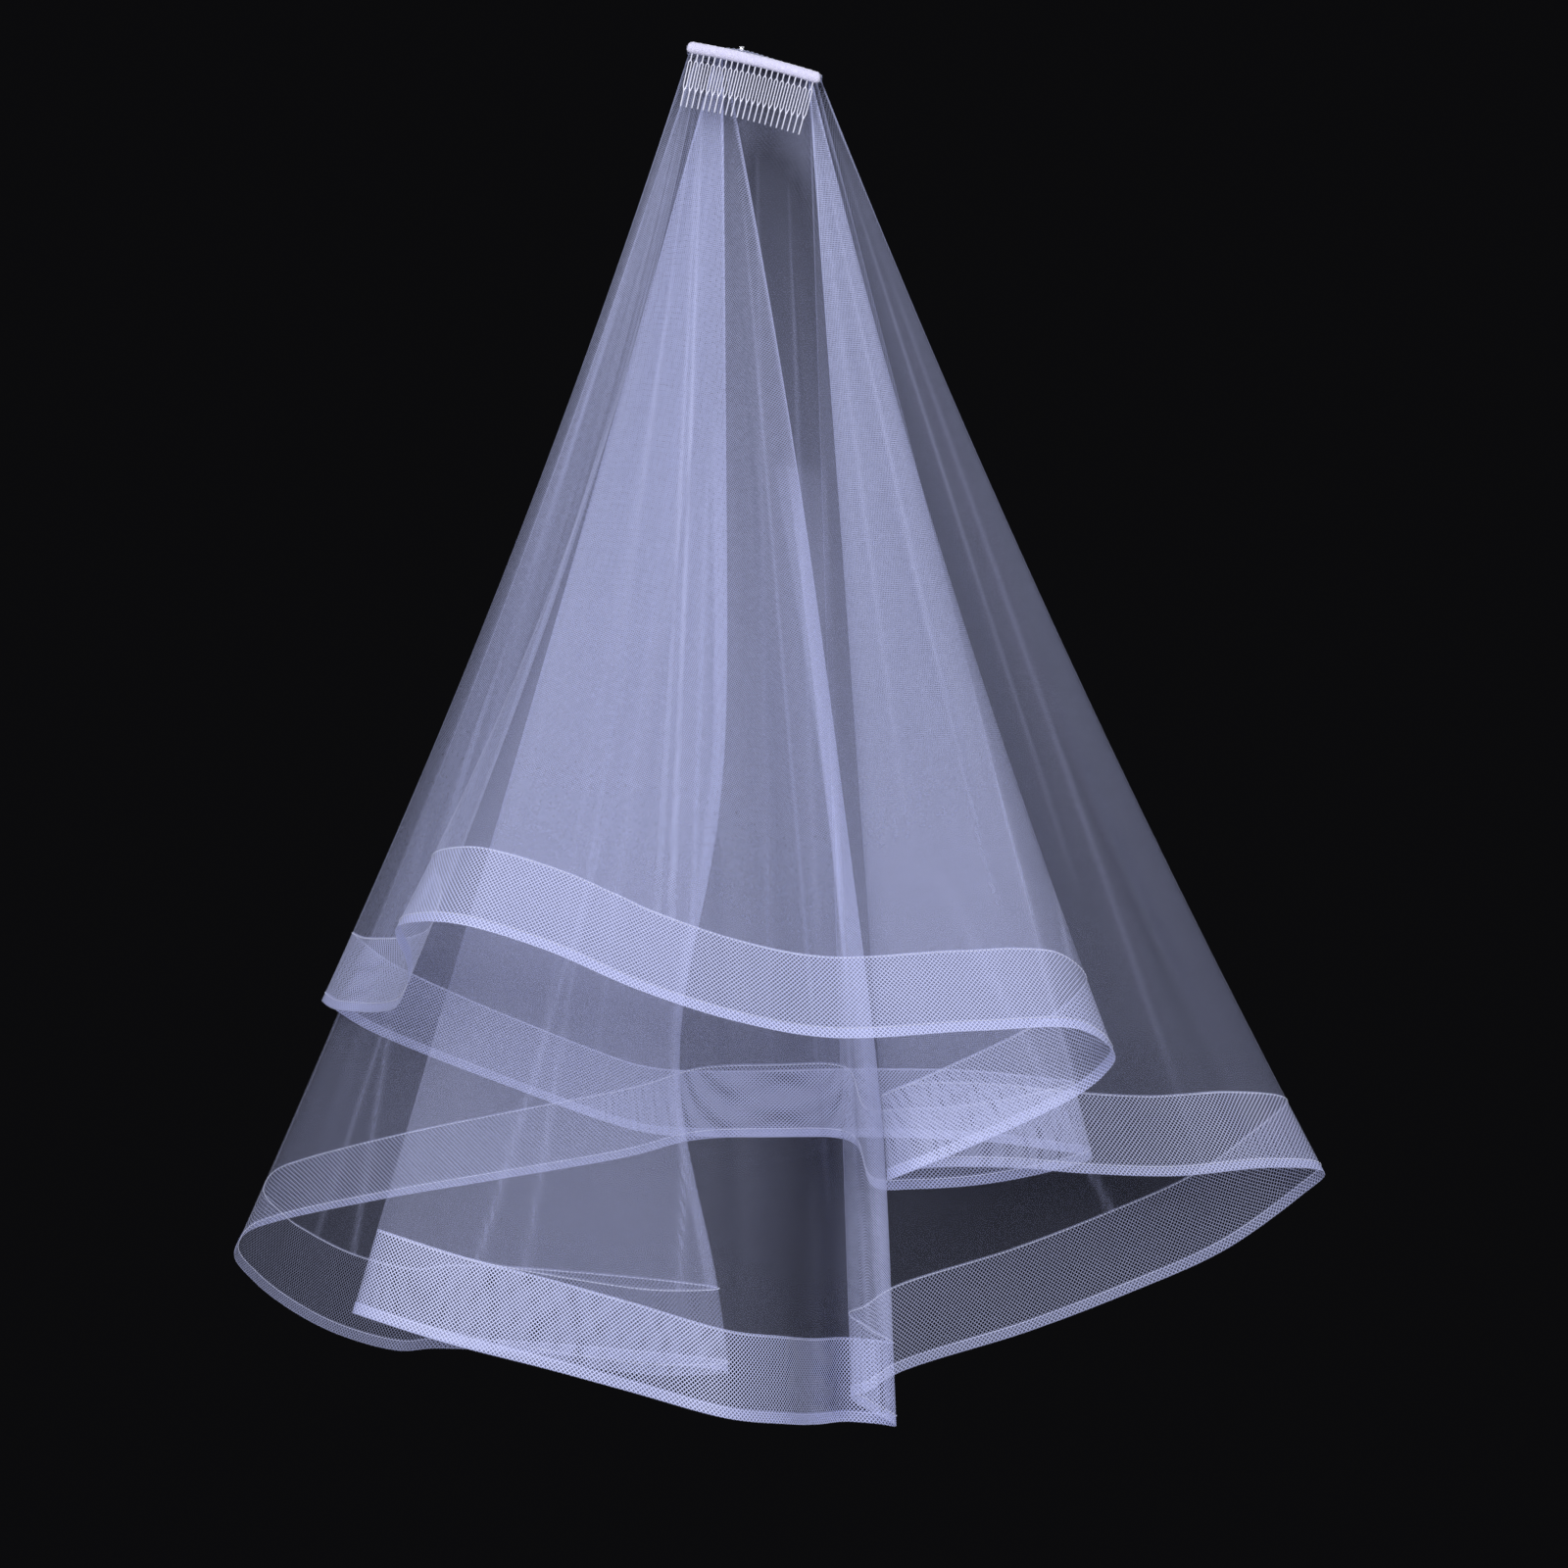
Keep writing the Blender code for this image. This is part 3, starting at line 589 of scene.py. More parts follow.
    def columns(self, start: Seam, stop: Seam, step: float, turn: float) -> np.ndarray:
        """Where the columns of a stretch stand.

        Args:
            start: The seam it begins at.
            stop: The seam it ends at.
            step: The hem's length from one column to the next.
            turn: The angle that the hem may turn from one column to the next.

        Returns:
            Their places round the hem, always increasing.
        """
        first, last = self.seam_at(start), self.seam_at(stop)
        if last < first:
            last += self.knots[-1]
        fine = np.linspace(first, last, 16001)
        steps = np.diff(self.hem(fine), axis=0)
        lengths = np.linalg.norm(steps, axis=1)
        ways = steps / lengths[:, None]
        turns = np.arccos(np.clip((ways[:-1] * ways[1:]).sum(axis=1), -1, 1))
        need = lengths / step
        need[1:] += turns / turn
        along = np.concatenate([[0.0], np.cumsum(need)])
        count = math.ceil(along[-1])
        even = np.interp(np.linspace(0, along[-1], count + 1), along, fine)
        reach = self.along(fine)
        places = [even]
        for lap in (0.0, self.knots[-1]):
            for knot in self.fold_knots[:-1] + lap:
                if first < knot < last:
                    middle = np.interp(knot, fine, reach)
                    places.append(np.interp(middle + np.array(self.fold_columns), reach, fine))
        every = np.unique(np.clip(np.concatenate(places), first, last))
        apart = np.diff(np.interp(every, fine, reach)) > min(self.fold_width, step) / 4
        return every[np.concatenate([[True], apart])]


def deselect() -> None:
    """Leaves object mode with nothing selected."""
    if bpy.context.object and bpy.context.object.mode != "OBJECT":
        bpy.ops.object.mode_set(mode="OBJECT")
    bpy.ops.object.select_all(action="DESELECT")


def sheet_mesh(
    name: str, points: np.ndarray, pattern: np.ndarray, **shown: np.ndarray
) -> bpy.types.Object:
    """A sheet of cloth: a grid whose columns and rows are laid on the drape.

    Args:
        name: The piece's name.
        points: Its points by column and row.
        pattern: Where each point lies on the flat cloth, in metres.
        **shown: Attributes for the finish, each with a value for each point.

    Returns:
        The new object, at the origin.
    """
    deselect()
    columns, rows = points.shape[0] - 1, points.shape[1] - 1
    bpy.ops.mesh.primitive_grid_add(x_subdivisions=columns, y_subdivisions=rows, size=1.0)
    piece = bpy.context.object
    piece.name = piece.data.name = name
    mesh = piece.data
    places = np.empty(len(mesh.vertices) * 3)
    mesh.vertices.foreach_get("co", places)
    places = places.reshape(-1, 3)
    i = np.rint((places[:, 0] + 0.5) * columns).astype(int)
    j = np.rint((places[:, 1] + 0.5) * rows).astype(int)
    mesh.vertices.foreach_set("co", points[i, j].ravel())
    corners = np.empty(len(mesh.loops), dtype=int)
    mesh.loops.foreach_get("vertex_index", corners)
    mesh.uv_layers[0].name = "Cut"
    mesh.uv_layers[0].uv.foreach_set("vector", pattern[i, j][corners].ravel())
    for key, values in shown.items():
        attribute = mesh.attributes.new(key, "FLOAT", "POINT")
        attribute.data.foreach_set("value", values[i, j])
    mesh.update()
    mesh.shade_smooth()
    return piece


class Nodes:
    """A material's or a group's node tree, with short ways to add and link nodes."""

    def __init__(self, tree: bpy.types.NodeTree) -> None:
        """Holds the tree."""
        self.tree = tree

    def add(self, kind: str, **settings: object) -> bpy.types.Node:
        """Adds a node with its settings."""
        node = self.tree.nodes.new(kind)
        for key, value in settings.items():
            setattr(node, key, value)
        return node

    def link(self, source: bpy.types.NodeSocket, target: bpy.types.NodeSocket) -> None:
        """Links one socket to another."""
        self.tree.links.new(source, target)

    def feed(self, target: bpy.types.NodeSocket, value: object) -> None:
        """Gives a socket a value, or links it to another socket."""
        if isinstance(value, bpy.types.NodeSocket):
            self.link(value, target)
        else:
            target.default_value = value

    def math(self, operation: str, *values: object, clamp: bool = False) -> bpy.types.NodeSocket:
        """A Math node's result."""
        node = self.add("ShaderNodeMath", operation=operation, use_clamp=clamp)
        for socket, value in zip(node.inputs, values):
            self.feed(socket, value)
        return node.outputs[0]

    def ramp(self, value: object, low: float, high: float, to_low: float, to_high: float):
        """A smooth step from one value to another."""
        node = self.add("ShaderNodeMapRange", interpolation_type="SMOOTHSTEP")
        for key, fed in zip(
            ("Value", "From Min", "From Max", "To Min", "To Max"), (value, low, high, to_low, to_high)
        ):
            self.feed(node.inputs[key], fed)
        return node.outputs["Result"]

    def place(self, group: bpy.types.NodeTree, **values: object) -> bpy.types.Node:
        """Places a node group with its values; an underscore in a name stands for a space."""
        node = self.add("ShaderNodeGroup", node_tree=group)
        for key, value in values.items():
            self.feed(node.inputs[key.replace("_", " ")], value)
        return node


def new_group(name: str, inputs: dict[str, str], outputs: dict[str, str]) -> bpy.types.NodeTree:
    """A shader node group with its named sockets.

    Args:
        name: The group's name.
        inputs: The kind of each input socket, by name.
        outputs: The kind of each output socket, by name.

    Returns:
        The group, with its input and output nodes placed.
    """
    group = bpy.data.node_groups.new(name, "ShaderNodeTree")
    for way, sockets in (("INPUT", inputs), ("OUTPUT", outputs)):
        for socket, kind in sockets.items():
            group.interface.new_socket(socket, in_out=way, socket_type=kind)
    group.nodes.new("NodeGroupInput").name = "In"
    group.nodes.new("NodeGroupOutput").name = "Out"
    return group


def diagonal_mesh_group() -> bpy.types.NodeTree:
    """Threads that cross at 45 degrees either way, as in net and in horsehair braid."""
    group = new_group(
        "Diagonal mesh",
        {"Vector": "NodeSocketVector", "Pitch": "NodeSocketFloat", "Thread": "NodeSocketFloat"},
        {"Mask": "NodeSocketFloat", "Height": "NodeSocketFloat"},
    )
    nodes = Nodes(group)
    given, out = group.nodes["In"], group.nodes["Out"]
    apart = nodes.add("ShaderNodeSeparateXYZ")
    nodes.link(given.outputs["Vector"], apart.inputs[0])
    threads = []
    for operation in ("ADD", "SUBTRACT"):
        across = nodes.math(operation, apart.outputs[0], apart.outputs[1])
        waves = nodes.math("DIVIDE", across, given.outputs["Pitch"])
        away = nodes.math("PINGPONG", waves, 0.5)
        edge = nodes.math("MULTIPLY", given.outputs["Thread"], 0.5)
        nearness = nodes.math("SUBTRACT", edge, away)
        sharp = nodes.math("MULTIPLY", nearness, 14.0)
        threads.append(nodes.math("ADD", sharp, 0.5, clamp=True))
    nodes.link(nodes.math("MAXIMUM", *threads), out.inputs["Mask"])
    both = nodes.math("ADD", *threads)
    nodes.link(nodes.math("MULTIPLY", both, 0.5), out.inputs["Height"])
    return group


def mottle_group() -> bpy.types.NodeTree:
    """Soft uneven patches, as of cloth that hangs nearer or further from its neighbour; in the cloth
    colours they are painted shade, and elsewhere they make uneven cover, roughness and bumps.
    """
    group = new_group(
        "Soft mottle",
        {"Scale": "NodeSocketFloat", "Low": "NodeSocketFloat", "High": "NodeSocketFloat"},
        {"Value": "NodeSocketFloat"},
    )
    nodes = Nodes(group)
    given, out = group.nodes["In"], group.nodes["Out"]
    where = nodes.add("ShaderNodeTexCoord")
    noise = nodes.add("ShaderNodeTexNoise")
    noise.inputs["Detail"].default_value = 3.0
    nodes.link(where.outputs["Object"], noise.inputs["Vector"])
    nodes.link(given.outputs["Scale"], noise.inputs["Scale"])
    ranged = nodes.ramp(noise.outputs["Fac"], 0.3, 0.7, given.outputs["Low"], given.outputs["High"])
    nodes.link(ranged, out.inputs["Value"])
    return group


@dataclass
class Effects:
    """The node groups that the finishes share."""

    mesh: bpy.types.NodeTree = field(default_factory=diagonal_mesh_group)
    mottle: bpy.types.NodeTree = field(default_factory=mottle_group)


def bare_material(name: str) -> tuple[bpy.types.Material, Nodes, bpy.types.Node]:
    """A new material, its nodes and its Principled shader."""
    material = bpy.data.materials.new(name)
    material.use_nodes = True
    nodes = Nodes(material.node_tree)
    return material, nodes, material.node_tree.nodes["Principled BSDF"]


@dataclass(frozen=True)
class NetFinish:
    """Bridal net: fine crossing threads with clear holes."""

    name: str = "Bridal_net"
    colour: tuple[float, float, float, float] = (0.640, 0.672, 1.0, 1.0)
    shaded: tuple[float, float, float, float] = (0.615, 0.648, 0.97, 1.0)
    pitch: float = 0.0019
    thread: float = 0.28
    thread_alpha: float = 0.165
    base_alpha: float = 0.018
    fold_alpha: float = 0.32
    patch_size: float = 7.0
    grain_size: float = 230.0
    roughness: float = 0.55
    sheen: float = 0.35

    def material(self, effects: Effects) -> bpy.types.Material:
        """Makes the net's material."""
        material, nodes, shader = bare_material(self.name)
        cut = nodes.add("ShaderNodeUVMap", uv_map="Cut")
        threads = nodes.place(effects.mesh, Vector=cut.outputs[0], Pitch=self.pitch, Thread=self.thread)
        grain = nodes.place(effects.mottle, Scale=self.grain_size, Low=0.92, High=1.08)
        patches = nodes.place(effects.mottle, Scale=self.patch_size, Low=0.0, High=1.0)
        # Painted shade: the net's colour is mixed towards a darker shaded copy in soft random patches.
        blend = nodes.add("ShaderNodeMix", data_type="RGBA")
        nodes.feed(blend.inputs["Factor"], patches.outputs["Value"])
        nodes.feed(blend.inputs["A"], self.colour)
        nodes.feed(blend.inputs["B"], self.shaded)
        nodes.link(blend.outputs["Result"], shader.inputs["Base Color"])
        pleat = nodes.add("ShaderNodeAttribute", attribute_name="pleat")
        close = nodes.add("ShaderNodeAttribute", attribute_name="closeness")
        cover = nodes.math("MULTIPLY", threads.outputs["Mask"], self.thread_alpha)
        cover = nodes.math("ADD", cover, self.base_alpha)
        cover = nodes.math("MULTIPLY", cover, grain.outputs["Value"])
        # Painted light and shade: the closeness raises the cover on layers that face the lamps and
        # lowers it on layers in the shade of others.
        cover = nodes.math("MULTIPLY", cover, close.outputs["Fac"])
        extra = nodes.math("MULTIPLY", pleat.outputs["Fac"], self.fold_alpha)
        nodes.link(nodes.math("ADD", cover, extra, clamp=True), shader.inputs["Alpha"])
        shader.inputs["Roughness"].default_value = self.roughness
        shader.inputs["Sheen Weight"].default_value = self.sheen
        return material


@dataclass(frozen=True)
class BraidFinish:
    """Horsehair braid: a glossy fine diagonal mesh with a corded top edge and a doubled hem."""

    name: str = "Horsehair_braid"
    colour: tuple[float, float, float, float] = (0.640, 0.672, 1.0, 1.0)
    shaded: tuple[float, float, float, float] = (0.620, 0.652, 0.98, 1.0)
    pitch: float = 0.0031
    thread: float = 0.27
    thread_alpha: float = 0.68
    base_alpha: float = 0.0
    width: float = 0.060
    cord: float = 0.0007
    cord_alpha: float = 0.22
    doubled: float = 0.008
    doubled_alpha: float = 0.12
    fray: float = 0.0005
    roughness: float = 0.4
    sheen: float = 0.3

    def cords(self, nodes: Nodes, height: bpy.types.NodeSocket) -> bpy.types.NodeSocket:
        """The cords along the braid's two edges, from its height on the flat cloth."""
        top = nodes.ramp(height, self.width - 2 * self.cord, self.width - self.cord, 0.0, 1.0)
        from_hem = nodes.math("ABSOLUTE", height)
        low = nodes.ramp(from_hem, self.cord / 2, 1.5 * self.cord, 1.0, 0.0)
        return nodes.math("MULTIPLY", nodes.math("MAXIMUM", top, low), self.cord_alpha)

    def material(self, effects: Effects) -> bpy.types.Material:
        """Makes the braid's material."""
        material, nodes, shader = bare_material(self.name)
        cut = nodes.add("ShaderNodeUVMap", uv_map="Cut")
        threads = nodes.place(effects.mesh, Vector=cut.outputs[0], Pitch=self.pitch, Thread=self.thread)
        apart = nodes.add("ShaderNodeSeparateXYZ")
        nodes.link(cut.outputs[0], apart.inputs[0])
        height = apart.outputs[1]
        edge = nodes.ramp(height, self.doubled - self.fray, self.doubled + self.fray, 1.0, 0.0)
        body = nodes.math("MULTIPLY", threads.outputs["Mask"], self.thread_alpha)
        body = nodes.math("ADD", body, self.base_alpha)
        body = nodes.math("ADD", body, nodes.math("MULTIPLY", edge, self.doubled_alpha))
        # Painted light and shade: the layer's closeness thickens the braid where it faces the lamps and
        # thins it where it lies in the shade of others.
        close = nodes.add("ShaderNodeAttribute", attribute_name="closeness")
        body = nodes.math("MULTIPLY", body, close.outputs["Fac"])
        nodes.link(nodes.math("MAXIMUM", body, self.cords(nodes, height)), shader.inputs["Alpha"])
        # Painted shade: the braid's colour is mixed towards a darker shaded copy in soft random
        # patches.
        mottle = nodes.place(effects.mottle, Scale=24.0, Low=0.0, High=1.0)
        blend = nodes.add("ShaderNodeMix", data_type="RGBA")
        nodes.feed(blend.inputs["Factor"], mottle.outputs["Value"])
        nodes.feed(blend.inputs["A"], self.colour)
        nodes.feed(blend.inputs["B"], self.shaded)
        nodes.link(blend.outputs["Result"], shader.inputs["Base Color"])
        bump = nodes.add("ShaderNodeBump")
        bump.inputs["Strength"].default_value = 0.25
        bump.inputs["Distance"].default_value = 0.0003
        nodes.link(threads.outputs["Height"], bump.inputs["Height"])
        nodes.link(bump.outputs["Normal"], shader.inputs["Normal"])
        shader.inputs["Roughness"].default_value = self.roughness
        shader.inputs["Sheen Weight"].default_value = self.sheen
        return material


@dataclass(frozen=True)
class RibbonFinish:
    """White ribbon wound round the comb's bar, a little fuzzy."""

    name: str = "Wound_ribbon"
    colour: tuple[float, float, float, float] = (0.86, 0.83, 1.0, 1.0)
    shaded: tuple[float, float, float, float] = (0.72, 0.68, 0.96, 1.0)
    rib: float = 0.0011
    roughness: float = 0.7
    sheen: float = 0.8

    def material(self, effects: Effects) -> bpy.types.Material:
        """Makes the ribbon's material."""
        material, nodes, shader = bare_material(self.name)
        cut = nodes.add("ShaderNodeUVMap", uv_map="Cut")
        weave = nodes.place(effects.mesh, Vector=cut.outputs[0], Pitch=self.rib, Thread=0.5)
        # Painted shade: this fine noise both roughens the bump and darkens the colour in flecks towards
        # a shaded copy.
        fuzz_and_shade = nodes.place(effects.mottle, Scale=900.0, Low=0.0, High=1.0)
        blend = nodes.add("ShaderNodeMix", data_type="RGBA")
        nodes.feed(blend.inputs["Factor"], fuzz_and_shade.outputs["Value"])
        nodes.feed(blend.inputs["A"], self.colour)
        nodes.feed(blend.inputs["B"], self.shaded)
        nodes.link(blend.outputs["Result"], shader.inputs["Base Color"])
        height = nodes.math("ADD", weave.outputs["Height"], fuzz_and_shade.outputs["Value"])
        bump = nodes.add("ShaderNodeBump")
        bump.inputs["Strength"].default_value = 0.6
        bump.inputs["Distance"].default_value = 0.0003
        nodes.link(height, bump.inputs["Height"])
        nodes.link(bump.outputs["Normal"], shader.inputs["Normal"])
        shader.inputs["Roughness"].default_value = self.roughness
        shader.inputs["Sheen Weight"].default_value = self.sheen
        return material


@dataclass(frozen=True)
class MetalFinish:
    """Bright metal: the comb's drawn wire or the pin's polished steel."""

    name: str
    colour: tuple[float, float, float, float]
    low: float
    high: float
    grain: float
    metallic: float

    def material(self, effects: Effects) -> bpy.types.Material:
        """Makes the metal's material, its roughness uneven along the wire."""
        material, nodes, shader = bare_material(self.name)
        wear = nodes.place(effects.mottle, Scale=self.grain, Low=self.low, High=self.high)
        nodes.link(wear.outputs["Value"], shader.inputs["Roughness"])
        shader.inputs["Base Color"].default_value = self.colour
        shader.inputs["Metallic"].default_value = self.metallic
        return material


@dataclass(frozen=True)
class ThreadFinish:
    """White sewing thread."""

    name: str = "Sewing_thread"
    colour: tuple[float, float, float, float] = (0.86, 0.87, 1.0, 1.0)
    roughness: float = 0.5

    def material(self, effects: Effects) -> bpy.types.Material:
        """Makes the thread's material."""
        material, nodes, shader = bare_material(self.name)
        twist = nodes.place(effects.mottle, Scale=1500.0, Low=0.0, High=1.0)
        bump = nodes.add("ShaderNodeBump")
        bump.inputs["Strength"].default_value = 0.4
        bump.inputs["Distance"].default_value = 0.0001
        nodes.link(twist.outputs["Value"], bump.inputs["Height"])
        nodes.link(bump.outputs["Normal"], shader.inputs["Normal"])
        shader.inputs["Base Color"].default_value = self.colour
        shader.inputs["Roughness"].default_value = self.roughness
        return material


@dataclass
class Tier:
    """One tier of the veil: its net, its braid and the stitches that hold them together."""

    title: str
    start: Seam
    stop: Seam
    drape: Drape
    flat: tuple[float, float]
    area: float
    column_step: float = 0.004
    column_turn: float = math.radians(9)
    rows: int = 76
    braid_width: float = 0.060
    edge: float = 0.008
    overlap: float = 0.002
    flap_gap: float = 0.0005
    stitch_step: float = 0.0032
    stitch_length: float = 0.0022
    stitch_radius: float = 0.00022
    columns: np.ndarray = field(init=False)

    def __post_init__(self) -> None:
        """Places the columns."""
        self.columns = self.drape.columns(
            self.start, self.stop, self.column_step, self.column_turn
        )

    def shares_below(self, height: float) -> np.ndarray:
        """The share of the fall at a height above the hem, for each column."""
        return 1.0 - self.drape.share_of(self.columns, height)

    def net(self) -> bpy.types.Object:
        """The net, from the gathers down to the braid, which it goes a little way under."""
        end = self.shares_below(self.braid_width - self.overlap)
        steps = np.linspace(0.0, 1.0, self.rows + 1)
        s = end[:, None] * steps[None, :]
        points = self.drape.surface(self.columns, s)
        fall = self.drape.fall(self.columns)
        radius = float(fall.mean())
        angle = (self.drape.along(self.columns) / radius)[:, None]
        reach = s * fall[:, None]
        pattern = np.stack([reach * np.sin(angle), reach * np.cos(angle)], axis=2)
        return sheet_mesh(
            f"Net_{self.title}",
            points,
            pattern,
            pleat=self.drape.pleat_lines(self.columns, s),
            closeness=self.drape.closeness(self.columns, s),
        )

    def braid(self) -> bpy.types.Object:
        """The braid: a flat band whose lower edge is turned up behind itself."""
        down = (60, 52, 43, 34, 25, 17, 10, 8, 5, 2, 0.6)
        heights = [h / 1000 for h in down]
        turned = [0.0] + [h / 1000 for h in (0.6, 2, 5, 8)]
        s = np.stack([self.shares_below(h) for h in heights], axis=1)
        front = self.drape.surface(self.columns, s)
        back_shares = np.stack([self.shares_below(h) for h in turned], axis=1)
        lifts = [-self.flap_gap / 2] + [-self.flap_gap] * (len(turned) - 1)
        back = np.concatenate(
            [
                self.drape.surface(self.columns, back_shares[:, k : k + 1], lift)
                for k, lift in enumerate(lifts)
            ],
            axis=1,
        )
        points = np.concatenate([front, back], axis=1)
        along = self.drape.along(self.columns)
        levels = np.array(heights + [-h for h in turned])
        pattern = np.stack(np.meshgrid(along, levels, indexing="ij"), axis=2)
        layer, _ = self.drape.layer_at(self.columns)
        # Each layer's braid closeness, which also holds painted light and shade.
        close = np.array([row.braid for row in CLOSENESS_AND_SHADE])[layer]
        closeness = np.repeat(close[:, None], points.shape[1], axis=1)
        return sheet_mesh(f"Braid_{self.title}", points, pattern, closeness=closeness)

    def stitches(self) -> bpy.types.Object:
        """Two rows of machine stitches: along the braid's top and along its turned-up edge."""
        first, last = self.columns[0], self.columns[-1]
        fine = np.linspace(first, last, 6001)
        along = self.drape.along(fine)
        count = int((along[-1] - along[0]) / self.stitch_step)
        middles = along[0] + self.stitch_step * (np.arange(count) + 0.5)
        spots = np.interp(middles, along, fine)
        ends = [np.interp(middles + way * self.stitch_length / 2, along, fine) for way in (-1, 1)]
        deselect()
        bpy.ops.mesh.primitive_cylinder_add(vertices=5, radius=1.0, depth=1.0, end_fill_type="NGON")
        one = bpy.context.object
        shape = np.array([v.co for v in one.data.vertices])
        faces = [tuple(p.vertices) for p in one.data.polygons]
        bpy.data.objects.remove(one)
        all_points, all_faces = [], []
        for height in (self.braid_width - 0.0012, self.edge - 0.0008):
            share = (1.0 - self.drape.share_of(spots, height))[:, None]
            centre = self.drape.surface(spots, share, 0.00035)[:, 0]
            inner = self.drape.surface(spots, share, -0.0004)[:, 0]
            tips = [self.drape.surface(end, share, 0.00035)[:, 0] for end in ends]
            way = tips[1] - tips[0]
            way /= np.linalg.norm(way, axis=1, keepdims=True)
            out = centre - inner
            out /= np.linalg.norm(out, axis=1, keepdims=True)
            side = np.cross(way, out)
            for k in range(count):
                axes = np.stack(
                    [
                        out[k] * self.stitch_radius,
                        side[k] * self.stitch_radius,
                        way[k] * self.stitch_length,
                    ]
                )
                base = len(all_points) * len(shape)
                all_points.append(centre[k] + shape @ axes)
                all_faces += [tuple(base + v for v in face) for face in faces]
        mesh = bpy.data.meshes.new(f"Stitches_{self.title}")
        mesh.from_pydata(np.concatenate(all_points).tolist(), [], all_faces)
        mesh.shade_smooth()
        piece = bpy.data.objects.new(mesh.name, mesh)
        bpy.context.scene.collection.objects.link(piece)
        return piece

    def build(self, finishes: "Finishes") -> None:
        """Makes the tier's pieces, dresses them and gives them to the frame."""
        net, braid, stitches = self.net(), self.braid(), self.stitches()
        net.data.materials.append(finishes.net)
        braid.data.materials.append(finishes.braid)
        stitches.data.materials.append(finishes.thread)
        length = float(np.ptp(self.drape.along(self.columns)))
        for piece, slot in ((net, "tulle"), (braid, "horsehair_braid"), (stitches, "tulle")):
            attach(piece, BODY)
            LOG.info("%s: %d faces", piece.name, len(piece.data.polygons))
        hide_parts(f"Tulle_{self.title}_tier")
        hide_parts(f"Braid_{self.title}_tier")


@dataclass
class Heading:
    """The fold of the net that stands above the comb and hangs on the pin."""

    drape: Drape
    first: float = -0.0392
    last: float = 0.0572
    lift: float = 0.0024
    crown: float = 0.0010
    ripple: float = 0.0003
    ripple_wave: float = 0.0036
    crown_line: float = 0.8
    closeness: float = 2.0
    columns: int = 220
    rows: int = 12

    def build(self, finishes: "Finishes") -> None:
        """Makes the heading."""
        drape = self.drape
        across = np.linspace(self.first, self.last, self.columns + 1)
        share = np.linspace(0.0, 1.0, self.rows + 1)
        x = np.repeat(across[:, None], self.rows + 1, axis=1)
        back = drape.layer_pitch * (len(FOLDS) - 2)
        y = drape.bar_depth(x) + drape.setback + back * share[None, :]
        arch = 1 - (2 * share - 1)[None, :] ** 4
        gathers = np.sin(math.tau * x / self.ripple_wave + 1.5 * np.sin(90 * x))
        z = drape.gather_height(x) + (self.lift + self.crown) * arch
        z = z + self.ripple * gathers * arch - 0.0006
        points = np.stack([x, y - PIN_REACH, z], axis=2)
        pattern = np.stack(np.meshgrid(across * 5, share * back, indexing="ij"), axis=2)
        crown = np.tile(self.crown_line * arch, (self.columns + 1, 1))
        close = np.full(crown.shape, self.closeness)
        piece = sheet_mesh("Heading_of_net", points, pattern, pleat=crown, closeness=close)
        piece.data.materials.append(finishes.net)
        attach(piece, BODY)
        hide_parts("Gathered_heading")
        LOG.info("%s: %d faces", piece.name, len(piece.data.polygons))


